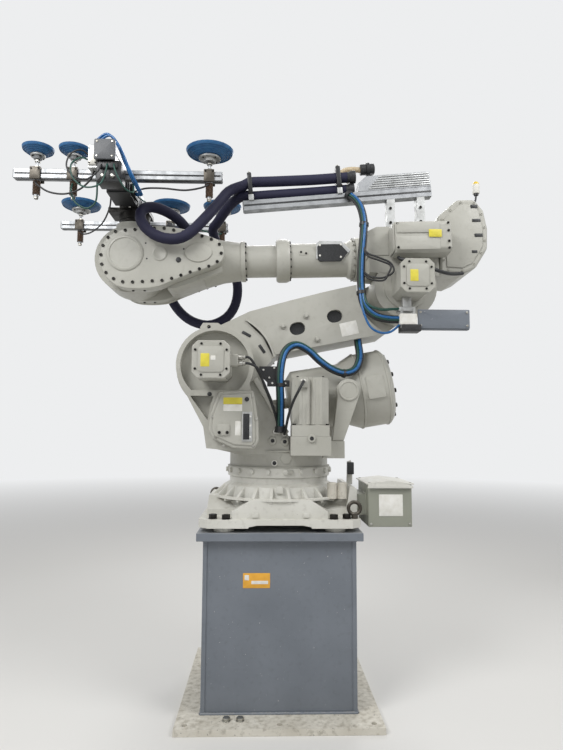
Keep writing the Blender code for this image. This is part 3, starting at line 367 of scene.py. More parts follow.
# bare metal: a grain of fine lines along the piece, a little duller in patches
def bareMetal(name, metal, dull, grain, rough, bump):
    material, tree, shader, where = newFinish(name, rough, 1.0)
    turn = addNode(tree, "ShaderNodeMapping", {"Vector": where, "Scale": grain}).outputs[0]
    lines = addNode(tree, "ShaderNodeTexNoise", {"Vector": turn, "Scale": 1.0, "Detail": 3.0}).outputs["Fac"]
    patch = addNode(tree, "ShaderNodeTexNoise", {"Vector": where, "Scale": 22.0,
                                                 "Detail": 4.0}).outputs["Fac"]
    colour = blended(tree, ranged(tree, patch, 0.35, 0.7), tone(metal), tone(dull))
    tree.links.new(colour, shader.inputs["Base Color"])
    tree.links.new(ranged(tree, patch, 0.3, 0.7, rough - 0.08, rough + 0.12), shader.inputs["Roughness"])
    skin = addNode(tree, "ShaderNodeBump", {"Strength": bump, "Distance": 0.0003, "Height": lines})
    tree.links.new(skin.outputs[0], shader.inputs["Normal"])
    return material


aluminium = bareMetal("extruded aluminium anodised", "#A9ABAD", "#8F9193", (12, 700, 700), 0.46, 0.15)
castAlu = bareMetal("cast aluminium", "#BFC0BF", "#9FA09E", (300, 300, 300), 0.5, 0.3)
zincSteel = bareMetal("zinc plated steel", "#B9B8B2", "#8D8A82", (200, 200, 200), 0.36, 0.1)
blackSteel = bareMetal("black oxide steel", "#3A3937", "#2A2928", (250, 250, 250), 0.42, 0.15)
eyeSteel = bareMetal("forged steel dark", "#5A5650", "#46423C", (150, 150, 150), 0.45, 0.3)


# castings, plates and motors from the frame: the finish of each and the radius of its rims
shells = {
    "floor_plate": (enamelCream, 0.002), "column": (enamelSlate, 0.0025), "top_plate": (enamelSlate, 0.003),
    "base_casting": (enamelWhite, 0.006), "junction_box": (boxGrey, 0.004),
    "junction_lid": (enamelWhite, 0.002),
    "lifting_eye_right": (eyeSteel, 0.0015), "lifting_eye_left": (eyeSteel, 0.0015),
    "turning_disc": (enamelWhite, 0.004), "frame_casting": (enamelGrey, 0.007),
    "ear_cover": (enamelGrey, 0.008),
    "axis2_motor": (enamelGrey, 0.006), "axis1_motor": (enamelGrey, 0.001),
    "balancer_bracket_near": (enamelGrey, 0.005), "balancer_bracket_far": (enamelGrey, 0.005),
    "cable_bracket": (blackPlastic, 0.002), "balancer": (enamelGrey, 0.006), "lower_arm": (enamelGrey, 0.010),
    "arm_house": (enamelGrey, 0.008), "gear_cover": (enamelGrey, 0.016),
    "wrist_motor_near": (enamelGrey, 0.008),
    "wrist_motor_far": (enamelGrey, 0.008), "axis3_motor": (enamelGrey, 0.006),
    "hose_rail": (aluminium, 0.002), "ribbed_box": (aluminium, 0.003), "rail_bracket_front": (castAlu, 0.002),
    "rail_bracket_rear": (castAlu, 0.002),
    "front_tube": (enamelGrey, 0.003), "tube_hatch": (blackPlastic, 0.003),
    "tilt_head": (enamelGrey, 0.006), "tool_adapter": (blackSteel, 0.002), "cross_beam": (aluminium, 0.003),
    "vacuum_unit": (blackPlastic, 0.004), "valve_block": (castAlu, 0.002),
    "near_bar": (aluminium, 0.002), "far_bar": (aluminium, 0.002)}
for node, (finish, width) in shells.items():
    softened(node, finish, width)
for node in frame["nodes"]:
    if node.startswith("cup_"):
        softened(node, cupBlue, 0.001, 2, 40)
print("shells rounded")


# small goods, each standing on its face with z up: a chamfered hexagon head over a washer, a socket
# head with its hole, a low button for a screw or a plug, and a flat plate with round corners
def hexHead(flats, height):
    return [turned([(flats * 0.62, 0), (flats * 0.62, 0.0025), (flats * 0.60, 0.003)], 20),
            drawn(ring(flats / 1.732, 6), 0.0028, height, 0.0012, 2)]


def socketHead(r, height):
    return [turned([(r, 0), (r, height - 0.001), (r - 0.001, height), (r * 0.55, height),
                    (r * 0.5, height * 0.45)], 16)]


def button(r, height):
    return [turned([(r, 0), (r, height * 0.7), (r * 0.8, height), (r * 0.3, height * 1.05)], 20)]


def plaque(width, height, thick=0.0012, r=0.003, at=(0, 0), edge=0.0004):
    return drawn(rounded(width, height, r, 4, at), 0.0, thick, edge, 2)


def standing(parts, place, *where):  # the same small part set on one face at several points
    return [place(g, *at) for at in where for g in parts]


# places of the pedestal's small goods, in metres
pedestalGoods = {
    "lug": 0.915, "lugBolts": [(0.322, 0.328), (0.258, 0.344)], "plateTop": 0.030,
    "nuts": [(-0.240, -0.405), (-0.178, -0.405)],
    "ribs": 24, "ribHalf": 0.0075,
    "ribProfile": [(0.268, 1.058), (0.290, 1.056), (0.344, 1.010), (0.346, 0.985), (0.290, 0.980)],
    "deckRing": [(0.352, 0.996), (0.352, 1.004), (0.344, 1.008), (0.330, 1.008), (0.330, 0.996)],
    "wallPads": [(-0.118, -0.3402, 0.932), (0.126, -0.3402, 0.932)], "towerPad": (-0.002, -0.288, 1.048),
    "bossProfile": [(0.024, 0), (0.024, 0.074), (0.021, 0.078), (0.016, 0.079)],
    "bosses": [(0.262, -0.235, 1.0), (0.312, -0.235, 1.0)],
    "tabOutline": [(-0.015, 0), (0.015, 0), (0.017, 0.10), (0.008, 0.125), (-0.012, 0.118)],
    "tab": (0.368, -0.10, 1.058), "tabBlock": (0.372, -0.108, 1.142),
    "weldCorner": (0.365, 0.347), "weldBeads": [(0.0325, 0.0065), (0.8135, 0.005)],
    "columnFace": -0.3412, "sticker": (-0.110, 0.629, 0.128, 0.069),
    "boxFace": -0.3002, "boxLabel": (0.543, 0.975, 0.117, 0.104),
    "boxScrews": [(0.445, 0.885), (0.635, 0.885), (0.445, 1.060), (0.635, 1.060)],
    "lidTop": 1.0815, "lidScrewsX": (0.440, 0.640), "lidScrewsY": (-0.295, -0.005),
    "lipOutline": [(0, 0), (0.225, 0), (0.222, 0.012), (0.196, 0.019), (0.004, 0.019)],
    "lip": (0.427, -0.3125, 1.058)}


# the bolts that hold the base casting's lugs, and two nuts on the floor plate
def baseBolts():
    grids = []
    for x, y in pedestalGoods["lugBolts"]:
        for sx, sy in ((1, 1), (1, -1), (-1, 1), (-1, -1)):
            grids += [setAt(g, (sx * x, sy * y, pedestalGoods["lug"] + gap)) for g in hexHead(0.034, 0.022)]
    piece("base.bolts", grids, blackSteel, "pedestal")
    nuts = [setAt(g, (x, y, pedestalGoods["plateTop"] + gap)) for x, y in pedestalGoods["nuts"]
            for g in hexHead(0.030, 0.016)]
    piece("plate.nuts", nuts, zincSteel, "pedestal")


# fins round the tower: one profile of (radius, height), thin, set every fifteen degrees
def baseRibs():
    half = pedestalGoods["ribHalf"]
    fin = drawn(pedestalGoods["ribProfile"], -half, half, 0.0025, 2)
    grids = []
    for k in range(pedestalGoods["ribs"]):
        a = 2 * np.pi * (k + 0.5) / pedestalGoods["ribs"]
        grids.append(setAt(fin, (0, 0, 0), (math.cos(a), math.sin(a), 0), (0, 0, 1),
                           (math.sin(a), -math.cos(a), 0)))
    piece("base.ribs", grids, enamelWhite, "pedestal")


# on the base casting: pads on its wall and tower, the ring round its deck, two cable bosses and a tab
def basePads():
    wall = [nearFace(plaque(0.030, 0.022, 0.006, 0.003), *spot) for spot in pedestalGoods["wallPads"]]
    wall += [nearFace(plaque(0.034, 0.034, 0.020, 0.004), *pedestalGoods["towerPad"])]
    wall += [turned(pedestalGoods["deckRing"], 96)]
    piece("base.pads", wall, enamelWhite, "pedestal")
    bosses = [setAt(turned(pedestalGoods["bossProfile"], 24), spot) for spot in pedestalGoods["bosses"]]
    piece("base.cableBosses", bosses, enamelCream, "pedestal")
    tab = nearFace(drawn(pedestalGoods["tabOutline"], 0, 0.008), *pedestalGoods["tab"])
    piece("base.tab", [tab], enamelWhite, "pedestal")
    block = nearFace(plaque(0.034, 0.062, 0.022, 0.004), *pedestalGoods["tabBlock"])
    piece("base.tabBlock", [block], blackPlastic, "pedestal")


# weld beads: a thin tube along the joint, its radius rippling as the torch moved on
def welds():
    x, y = pedestalGoods["weldCorner"]
    grids = []
    for z, r in pedestalGoods["weldBeads"]:
        loop = [(-x, -y), (x, -y), (x, y), (-x, y), (-x, -y)]
        for (ax, ay), (bx, by) in zip(loop[:-1], loop[1:]):
            steps = int(math.hypot(bx - ax, by - ay) / 0.005)
            t = np.linspace(0, 1, steps)
            line = np.column_stack([ax + (bx - ax) * t, ay + (by - ay) * t, np.full(steps, z)])
            ripple = 1 + 0.13 * np.sin(np.arange(steps) * 2.1) + 0.06 * np.sin(np.arange(steps) * 0.37)
            grids.append(tube(line, r * ripple, 8))
    piece("pedestal.welds", grids, enamelSlate, "pedestal", 50)


# the column's label with its white bands, and the label, screws and lip of the junction box
def pedestalLabels():
    x, z, w, h = pedestalGoods["sticker"]
    face = pedestalGoods["columnFace"]
    piece("pedestal.label", [nearFace(plaque(w, h, 0.0008, 0.002), x, face, z)], labelOrange, "pedestal")
    band = plaque(w * 0.62, h * 0.22, 0.0004, 0.001, at=(w * 0.12, -h * 0.12))
    patch = plaque(w * 0.16, h * 0.34, 0.0004, 0.001, at=(-w * 0.36, h * 0.2))
    white = [nearFace(grid, x, face - 0.0008, z) for grid in (band, patch)]
    piece("pedestal.labelBands", white, paperWhite, "pedestal")
    x, z, w, h = pedestalGoods["boxLabel"]
    face = pedestalGoods["boxFace"]
    piece("junction.label", [nearFace(plaque(w, h, 0.001, 0.003), x, face - gap, z)], paperWhite, "pedestal")
    spots = [(x, face, z) for x, z in pedestalGoods["boxScrews"]]
    screws = standing(button(0.006, 0.004), nearFace, *spots)
    screws += [setAt(g, (x, y, pedestalGoods["lidTop"])) for x in pedestalGoods["lidScrewsX"]
               for y in pedestalGoods["lidScrewsY"] for g in button(0.007, 0.004)]
    piece("junction.screws", screws, zincSteel, "pedestal")
    lip = drawn(pedestalGoods["lipOutline"], 0, 0.002, 0.0005, 2)
    piece("junction.lip", [nearFace(lip, *pedestalGoods["lip"])], enamelWhite, "pedestal")


baseBolts()
baseRibs()
basePads()
welds()
pedestalLabels()
print("pedestal dressed")


# places on the turning frame, in metres: (x, z) on the face that is named, or all three. A rim and a boss are
# profiles of (radius, height)
frameGoods = {
    "disc": (0.272, 1.131, 20), "skirt": 0.262,
    "discRim": [(0.268, 1.1485), (0.2735, 1.1490), (0.2735, 1.1540), (0.268, 1.1545)],
    "skirtRim": [(0.2615, 1.2275), (0.2665, 1.2290), (0.2665, 1.2365), (0.2615, 1.2380)],
    "discStop": (0.048, 1.131), "skirtBoss": (0.030, 1.198), "skirtPlug": (-0.027, 1.175),
    "cover": -0.3943,
    "coverScrews": [(-0.136, 1.500), (-0.116, 1.390), (-0.310, 1.306), (-0.130, 1.262), (-0.272, 1.262),
                    (-0.326, 1.400)],
    "coverOutline": [(-0.297, 1.522), (-0.131, 1.526), (-0.107, 1.377), (-0.104, 1.286), (-0.126, 1.248),
                     (-0.226, 1.253), (-0.321, 1.296), (-0.343, 1.338), (-0.336, 1.411)],
    "coverEdge": 0.016, "panelRise": 0.0083, "labelTop": (-0.229, 1.476), "labelLow": (-0.229, 1.443),
    "labelSide": (-0.2035, 1.346), "windowFrame": (-0.160, 1.354), "window": (-0.164, 1.354),
    "windowScrews": [(-0.1445, 1.402), (-0.1445, 1.359), (-0.1445, 1.306)],
    "pad": (-0.272, 1.339), "padBolts": [(-0.291, 1.326), (-0.253, 1.326)], "panelPlug": (-0.162, 1.484),
    "earPlug": (-0.344, -0.3603, 1.510),
    "capFace": -0.5753, "outlets": [(-0.2022, -0.470, 1.676), (-0.2022, -0.470, 1.648)],
    "web": -0.2553, "webRib": [(-0.140, 1.588), (-0.116, 1.602), (0.044, 1.330), (0.030, 1.314)],
    "webBosses": [(-0.033, 1.448), (-0.037, 1.285), (0.024, 1.281)], "sideBoss": (0.148, -0.3902, 1.299),
    "bossProfile": [(0.020, 0), (0.019, 0.008), (0.017, 0.010), (0.010, 0.010), (0.010, 0.004)],
    "bracketScrews": [(-0.085, -0.2643, 1.640), (-0.030, -0.2643, 1.650), (-0.055, -0.2643, 1.600),
                      (-0.040, -0.2885, 1.571), (0.025, -0.2885, 1.571)],
    "balancerTilt": 9.8, "balancerBolts": 12}


def onSkirt(grid, x, z, r):  # stands on a drum round the upright axis, at the x and height given
    a = -math.acos(x / r)
    return setAt(grid, (r * math.cos(a), r * math.sin(a), z), (-math.sin(a), math.cos(a), 0), (0, 0, 1),
                 (math.cos(a), math.sin(a), 0))


# bolts look outwards round the turning disc at even angles; above it the rims, boss and plug of the skirt
def discAndSkirt():
    r, z, count = frameGoods["disc"]
    seat = r - 0.001
    heads = []
    for k in range(count):
        a = 2 * np.pi * (k + 0.3) / count
        for g in hexHead(0.024, 0.012):
            heads.append(setAt(g, (seat * math.cos(a), seat * math.sin(a), z), (-math.sin(a), math.cos(a), 0),
                               (0, 0, 1), (math.cos(a), math.sin(a), 0)))
    piece("disc.bolts", heads, enamelWhite, "frame")
    skirt = frameGoods["skirt"]
    rim = [turned(frameGoods["discRim"], 96)]
    rim += [onSkirt(plaque(0.034, 0.020, 0.010, 0.002), *frameGoods["discStop"], r)]
    rim += [turned(frameGoods["skirtRim"], 96)]
    piece("skirt.rims", rim, enamelGrey, "frame")
    boss = onSkirt(drawn(ring(0.030, 6), 0, 0.004), *frameGoods["skirtBoss"], skirt)
    piece("skirt.boss", [boss], enamelGrey, "frame")
    collar = turned([(0.015, 0), (0.015, 0.004), (0.011, 0.004), (0.010, 0.001)], 24)
    piece("skirt.plugRing", [onSkirt(collar, *frameGoods["skirtPlug"], skirt - gap)], paperWhite, "frame")
    plug = onSkirt(button(0.010, 0.004)[0], *frameGoods["skirtPlug"], skirt)
    piece("skirt.plug", [plug], blackPlastic, "frame")


# on the ear's cover: screws, a raised panel inside its outline, labels, a framed window and a pad
def earGoods():
    face = frameGoods["cover"]
    spots = [(x, face, z) for x, z in frameGoods["coverScrews"]]
    piece("cover.screws", standing(button(0.0075, 0.005), nearFace, *spots), zincSteel, "frame")
    inner = inset(frameGoods["coverOutline"][::-1], frameGoods["coverEdge"])
    raised = drawn(inner, 0, 0.010, 0.005, 4)
    piece("cover.panel", [nearFace(raised, 0, face + 0.002, 0)], enamelGrey, "frame", 50)
    face -= frameGoods["panelRise"]

    # on the raised panel, at places of (x, z), so far out from the panel's face
    def onPanel(parts, lift, *places):
        return standing(parts, nearFace, *[(x, face - lift, z) for x, z in places])

    wide, narrow = plaque(0.090, 0.032, 0.0008), plaque(0.026, 0.068, 0.0008)
    piece("cover.labelTop", onPanel([wide], 0, frameGoods["labelTop"]), labelYellow, "frame")
    low = onPanel([wide], 0, frameGoods["labelLow"]) + onPanel([narrow], 0, frameGoods["labelSide"])
    piece("cover.labelLow", low, paperWhite, "frame")
    window = onPanel([plaque(0.048, 0.140, 0.005, 0.003)], 0, frameGoods["windowFrame"])
    piece("cover.windowFrame", window, castAlu, "frame")
    glass = onPanel([plaque(0.030, 0.122, 0.0018, 0.002)], 0.0048, frameGoods["window"])
    piece("cover.window", glass, blackPlastic, "frame")
    piece("cover.windowScrews", onPanel(button(0.0045, 0.0025), 0.005, *frameGoods["windowScrews"]),
          paperWhite, "frame")
    piece("cover.pad", onPanel([plaque(0.058, 0.054, 0.008, 0.006)], -0.002, frameGoods["pad"]),
          enamelGrey, "frame")
    piece("cover.padBolts", onPanel(socketHead(0.0075, 0.005), 0.006, *frameGoods["padBolts"]),
          blackSteel, "frame")
    x, z = frameGoods["panelPlug"]
    piece("ear.plugs", standing(button(0.011, 0.004), nearFace, (x, face, z), frameGoods["earPlug"]),
          blackPlastic, "frame")


# a servo motor's end cap: a shallow square pad, and two screws at each of its cut corners
def motorCap(name, x, z, face, half, body):
    pad = plaque(half * 1.35, half * 1.35, 0.004, half * 0.2, edge=0.0015)
    piece(name + ".pad", [nearFace(pad, x, face, z)], enamelGrey, body)
    corner = ((0.82, 0.5), (0.5, 0.82), (-0.5, 0.82), (-0.82, 0.5), (-0.82, -0.5), (-0.5, -0.82),
              (0.5, -0.82), (0.82, -0.5))
    spots = [(x + half * a, face, z + half * b) for a, b in corner]
    piece(name + ".screws", standing(socketHead(0.0055, 0.0045), nearFace, *spots), blackSteel, body)


# on axis 2's motor: its cap, two labels, two cable outlets and a rib over and under it
def motorTwo():
    x, z = axis2[0], axis2[2]
    face = frameGoods["capFace"]
    motorCap("motor2", x, z, face, 0.086, "frame")
    label = nearFace(plaque(0.040, 0.060, 0.0008), x - 0.026, face - 0.004, z - 0.004)
    piece("motor2.label", [label], labelYellow, "frame")
    small = nearFace(plaque(0.022, 0.020, 0.0008), x + 0.010, face - 0.004, z + 0.006)
    piece("motor2.labelSmall", [small], paperWhite, "frame")
    outlet = turned([(0.012, 0), (0.013, 0.004), (0.013, 0.020), (0.010, 0.022), (0.010, 0.032),
                     (0.007, 0.034)], 16)
    outlets = [aim(outlet, spot, (1, 0, 0)) for spot in frameGoods["outlets"]]
    piece("motor2.outlets", outlets, zincSteel, "frame")
    fin = drawn(rounded(0.128, 0.003, 0.001, 3), 0, 0.150, 0.0008, 2)
    fins = [setAt(fin, (x, -0.545, z + s * 0.0815), (1, 0, 0), (0, 0, 1), (0, 1, 0)) for s in (-1, 1)]
    piece("motor2.ribs", fins, enamelGrey, "frame")


# the upright motor: its middle, the top of its flange, the underside of its top cover, half its width
motorOneGoods = {"x": 0.144, "y": -0.300, "low": 1.362, "high": 1.588, "half": 0.0765,
                 "ribs": (-0.048, -0.016, 0.016, 0.048), "flangeScrews": (0.080, 1.3612),
                 "topScrews": (0.062, 1.5962), "outlet": (0.106, -0.4062, 1.568)}


# four rounded ribs run up each side of the upright motor, between its flange and its top cover
def motorOne():
    x, y, low, high, half = (motorOneGoods[k] for k in ("x", "y", "low", "high", "half"))
    rib = turned([(0.004, 0), (0.0135, 0.004), (0.0135, high - low - 0.004), (0.004, high - low)], 16)
    grids = []
    for k in range(4):
        a = k * math.pi / 2
        out = np.array((math.cos(a), math.sin(a), 0))
        side = np.array((-math.sin(a), math.cos(a), 0))
        grids += [setAt(rib, np.array((x, y, low)) + out * half + side * s) for s in motorOneGoods["ribs"]]
    piece("motor1.flutes", grids, enamelGrey, "frame", 40)
    screws = []
    for key, head in (("flangeScrews", socketHead(0.008, 0.008)), ("topScrews", socketHead(0.006, 0.004))):
        off, z = motorOneGoods[key]
        screws += [setAt(g, (x + a * off, y + b * off, z)) for a in (-1, 1) for b in (-1, 1) for g in head]
    piece("motor1.screws", screws, blackSteel, "frame")
    outlet = turned([(0.013, 0), (0.014, 0.003), (0.014, 0.020), (0.010, 0.023), (0.009, 0.030)], 16)
    piece("motor1.outlet", [aim(outlet, motorOneGoods["outlet"], (0, -1, 0))], zincSteel, "frame")


# on the frame's web: a slanting rib, bosses whose holes hold black discs of painted shade, and the screws of
# the cable bracket
def frameCasting():
    face = frameGoods["web"]
    rib = drawn(frameGoods["webRib"], 0, 0.020, 0.006, 4)
    piece("web.rib", [nearFace(rib, 0, face + 0.001, 0)], enamelGrey, "frame", 50)
    spots = [(x, face, z) for x, z in frameGoods["webBosses"]] + [frameGoods["sideBoss"]]
    bosses = standing([turned(frameGoods["bossProfile"], 24)], nearFace, *spots)
    piece("frame.bosses", bosses, enamelGrey, "frame")
    # black discs of painted shade in the bosses' holes
    holeShade = standing(button(0.0095, 0.003), nearFace, *[(x, y - 0.005, z) for x, y, z in spots])
    piece("frame.bossHoleShade", holeShade, blackPlastic, "frame")
    screws = standing(button(0.005, 0.003), nearFace, *frameGoods["bracketScrews"])
    piece("bracket.screws", screws, paperWhite, "frame")


# the balancer's pin covers, each with a rim, the ring of bolts on its end flange and the flat pad on its side
def balancerGoods():
    tilt = math.radians(frameGoods["balancerTilt"])
    along = np.array((math.cos(tilt), 0, math.sin(tilt)))
    up = np.array((-math.sin(tilt), 0, math.cos(tilt)))
    for s, name in ((-1, "near"), (1, "far")):
        cap = turned([(0.052, 0), (0.052, 0.005), (0.048, 0.008), (0.043, 0.008), (0.041, 0.005),
                      (0.010, 0.005)], 48)
        at = (trunnion[0], s * 0.2622, trunnion[2])
        piece(f"trunnion.cap.{name}", [aim(cap, at, (0, s, 0))], enamelGrey, "frame")
    heads = []
    count = frameGoods["balancerBolts"]
    for a in np.arange(count) * 2 * math.pi / count + 0.2:
        at = trunnion + along * 0.2502 + 0.164 * (np.array((0, 1, 0)) * math.cos(a) + up * math.sin(a))
        heads += [aim(g, at, along) for g in hexHead(0.020, 0.012)]
    piece("balancer.bolts", heads, blackSteel, "balancer")
    plate = turned([(0.120, 0.0), (0.120, 0.004), (0.114, 0.008), (0.040, 0.008), (0.036, 0.016),
                    (0.012, 0.016)], 48)
    end = aim(plate, trunnion + along * 0.2500, along)
    bands = [turned([(0.2030, t), (0.2075, t + 0.003), (0.2075, t + 0.009), (0.2030, t + 0.012)], 64)
             for t in (0.076, 0.216)]
    pad = plaque(0.092, 0.120, 0.010, 0.010, edge=0.003)
    pads = [setAt(pad, trunnion + along * 0.152 + np.array((0, s * 0.1965, 0)), along * -s, up, (0, s, 0))
            for s in (-1, 1)]
    grids = [end] + [aim(band, trunnion, along) for band in bands] + pads
    piece("balancer.rims", grids, enamelGrey, "balancer")


discAndSkirt()
earGoods()
motorTwo()
motorOne()
frameCasting()
balancerGoods()
print("frame dressed")


# a closed smooth line through the corners of an outline, at an even spacing
def smoothLoop(corners, count):
    k = np.array(corners, float)
    t = np.linspace(0, 1, 16, endpoint=False)[:, None, None]
    fine = cubic(np.roll(k, 1, 0), k, np.roll(k, -1, 0), np.roll(k, -2, 0), t)
    fine = fine.transpose(1, 0, 2).reshape(-1, 2)
    return spaced(fine, count)


def spaced(outline, count):  # points at an even spacing round a closed line
    line = np.vstack([outline, outline[:1]])
    walked = np.concatenate([[0], np.cumsum(np.linalg.norm(np.diff(line, axis=0), axis=1))])
    wanted = np.linspace(0, walked[-1], count, endpoint=False)
    return np.column_stack([np.interp(wanted, walked, line[:, i]) for i in range(2)])


# places on the lower arm's near face, (x, z) in metres at rest. Marks add a lean in degrees, the band round
# axis 2 is two radii and the angles between which it runs, and the oval of a pocket is width, height, corner
armGoods = {"face": 0.1503, "bosses": [(0.016, 1.884), (0.196, 1.815), (0.138, 1.940)],
            "pockets": [(0.092, 1.873), (0.290, 1.941)], "label": (0.366, 1.875, 0.092, 0.072),
            "marks": [(-0.176, 1.840, 62), (-0.094, 1.762, 35)], "labelLean": 13,
            "bossProfile": [(0.017, -0.001), (0.016, 0.005), (0.014, 0.007), (0.009, 0.007), (0.008, 0.003)],
            "band": (0.290, 0.304, 12, 62), "oval": (0.0835, 0.0675, 0.0335), "ovalLean": 15,
            "pocketFloor": 0.100}


# on both faces: bosses with painted bolts, a raised band round axis 2, black blocks of painted shade in the
# two oval pockets;
# on the near face: a label and two black strips of painted shade for its slots
def lowerArmGoods():
    y = armGoods["face"]
    inside, outside, first, last = armGoods["band"]
    for side, place, s in (("near", nearFace, -1), ("far", farFace, 1)):
        spots = [(x, s * y, z) for x, z in armGoods["bosses"]]
        rims = standing([turned(armGoods["bossProfile"], 24)], place, *spots)
        a = np.radians(np.linspace(first, last, 40))
        outer = axis2[[0, 2]] + outside * np.column_stack([np.cos(a), np.sin(a)])
        inner = axis2[[0, 2]] + inside * np.column_stack([np.cos(a[::-1]), np.sin(a[::-1])])
        band = drawn(np.vstack([outer, inner]) * (-s, 1), -0.001, 0.006, 0.0025, 3)
        rims.append(place(band, 0, s * y, 0))
        piece(f"arm.rims.{side}", rims, enamelGrey, "lower_arm")
        spots = [(x, s * (y + 0.004), z) for x, z in armGoods["bosses"]]
        bolts = standing(hexHead(0.019, 0.010), place, *spots)
        piece(f"arm.bolts.{side}", bolts, enamelGrey, "lower_arm")
        lean = math.radians(armGoods["ovalLean"])
        oval = rounded(*armGoods["oval"], 9)
        leaning = np.column_stack([oval[:, 0] * math.cos(lean) - oval[:, 1] * math.sin(lean),
                                   oval[:, 0] * math.sin(lean) + oval[:, 1] * math.cos(lean)]) * (-s, 1)
        back = s * (y - armGoods["pocketFloor"])
        # black blocks of painted shade, set 3 cm down in the two oval pockets of the casting
        plugs = [place(drawn(leaning, 0, 0.070, 0.001, 1), x, back, z) for x, z in armGoods["pockets"]]
        piece(f"arm.paintedPocketShade.{side}", plugs, blackPlastic, "lower_arm")
    x, z, w, h = armGoods["label"]
    lean = math.radians(armGoods["labelLean"])
    label = setAt(plaque(w, h, 0.0008), (x, -y, z), (math.cos(lean), 0, math.sin(lean)),
                  (-math.sin(lean), 0, math.cos(lean)), (0, -1, 0))
    piece("arm.label", [label], paperWhite, "lower_arm")
    # black strips of painted shade for the two slots on the near face
    slotShade = []
    for x, z, lean in armGoods["marks"]:
        c, s = math.cos(math.radians(lean)), math.sin(math.radians(lean))
        slotShade.append(setAt(plaque(0.016, 0.052, 0.0012), (x, -y, z), (c, 0, s), (-s, 0, c), (0, -1, 0)))
    piece("arm.slots", slotShade, blackPlastic, "lower_arm")


lowerArmGoods()
print("lower arm dressed")


# the upper arm's small goods; the painted-shade strips of the gear cover's slots and its screws count from
# axis 3 and the arm's line
gearGoods = {
    "outline": [(0.183, -0.135), (0.183, 0.170), (0.290, 0.262), (0.385, 0.262), (0.430, 0.200),
                (0.447, 0.100), (0.440, -0.010), (0.370, -0.115), (0.300, -0.145)],
    "slotShade": [(0.376, 0.219, 0.038, 0.019), (0.384, 0.142, 0.045, 0.017), (0.392, 0.061, 0.044, 0.019),
              (0.365, -0.028, 0.030, 0.015)],
    "coverFace": 0.200, "edge": 0.030, "screwEdge": 0.018, "screws": 14,
    "motor": (0.060, 0.020, 0.290, 0.166), "motorFace": 0.3355, "motorMiddle": 0.268, "motorFoot": -0.0852,
    "motorScrews": [(0.128, 0.065), (0.128, 0.025), (0.128, -0.030), (-0.132, 0.065), (-0.132, -0.060),
                    (0.128, -0.066)],
    "motorLabel": (0.779, -0.3412, 2.334), "axis3Cap": -0.4303}


# on each side of the gear cover: a raised panel, the screws round it and black strips of painted shade for
# the four slots down its rear edge
def gearCover():
    outline = np.array(gearGoods["outline"]) + (axis3[0], lineZ)
    rim = inset(outline[::-1], gearGoods["screwEdge"])
    raised = inset(outline[::-1], gearGoods["edge"])
    for side, place, s in (("near", nearFace, -1), ("far", farFace, 1)):
        face = s * gearGoods["coverFace"]
        panel = place(drawn(raised * (-s, 1), -0.001, 0.006, 0.004, 3), 0, face, 0)
        piece(f"gear.panel.{side}", [onArm(panel)], enamelGrey, "upper_arm", 50)
        spots = [(x, face + s * gap, z) for x, z in spaced(rim, gearGoods["screws"])]
        heads = [onArm(g) for g in standing(socketHead(0.0065, 0.0045), place, *spots)]
        piece(f"gear.screws.{side}", heads, enamelGrey, "upper_arm")
        # black strips of painted shade where the slots are
        slotShade = [onArm(place(plaque(w, h, 0.0012, 0.002), axis3[0] + x, face + s * 0.0062, lineZ + z))
                 for x, z, w, h in gearGoods["slotShade"]]
        piece(f"gear.slots.{side}", slotShade, blackPlastic, "upper_arm")


# on each wrist motor: two pads and six screws; on the near one also a foot and a label; and motor 3's cap
def wristMotors():
    x, z, w, h = gearGoods["motor"]
    for side, place, s in (("near", nearFace, -1), ("far", farFace, 1)):
        face = s * gearGoods["motorFace"]
        pads = [(plaque(w * 0.76, h * 0.34, 0.005, 0.006, edge=0.002), 0.044),
                (plaque(w * 0.76, h * 0.42, 0.002, 0.006, edge=0.001), -0.036)]
        grids = [onArm(place(pad, axis3[0] + x - 0.028, face, lineZ + z + lift)) for pad, lift in pads]
        piece(f"wristMotor.pads.{side}", grids, enamelGrey, "upper_arm")
        if side == "near":
            spot = (axis3[0] + gearGoods["motorFoot"], s * gearGoods["motorMiddle"], lineZ + z)
            foot = setAt(plaque(0.118, 0.148, 0.008, 0.018, edge=0.003), spot, (0, 1, 0), (0, 0, 1),
                         (-1, 0, 0))
            piece("wristMotor.foot", [onArm(foot)], enamelGrey, "upper_arm")
        spots = [(axis3[0] + x + a, face, lineZ + z + b) for a, b in gearGoods["motorScrews"]]
        heads = [onArm(g) for g in standing(socketHead(0.0065, 0.005), place, *spots)]
        piece(f"wristMotor.screws.{side}", heads, blackSteel, "upper_arm")
    label = nearFace(plaque(0.066, 0.040, 0.0008), *gearGoods["motorLabel"])
    piece("wristMotor.label", [label], labelYellow, "upper_arm")
    face = gearGoods["axis3Cap"]
    motorCap("motor3", axis3[0], axis3[2], face, 0.082, "upper_arm")
    label = nearFace(plaque(0.040, 0.058, 0.0008), axis3[0] - 0.018, face - 0.0041, axis3[2] - 0.002)
    piece("motor3.label", [label], labelYellow, "upper_arm")


# each block of the cable connector: width, height, thickness, corner, edge, and its place in metres
connectorGoods = {
    "socket": (blackPlastic, [(0.098, 0.034, 0.080, 0.003, 0.002, (0.652, -0.255, 1.850))]),
    "hood": (paperWhite, [(0.086, 0.056, 0.074, 0.006, 0.003, (0.638, -0.258, 1.894))]),
    "bracket": (castAlu, [(0.084, 0.022, 0.060, 0.002, 0.001, (0.634, -0.262, 1.947)),
                          (0.012, 0.100, 0.004, 0.001, 0.0004, (0.606, -0.322, 1.900)),
                          (0.012, 0.100, 0.004, 0.001, 0.0004, (0.668, -0.322, 1.900)),
                          (0.044, 0.062, 0.030, 0.003, 0.0004, (0.640, -0.268, 1.984))]),
    "plate": (enamelSlate, [(0.262, 0.096, 0.008, 0.004, 0.001, (0.820, -0.310, 1.898)),
                            (0.262, 0.010, 0.030, 0.002, 0.0004, (0.820, -0.280, 1.850))])}


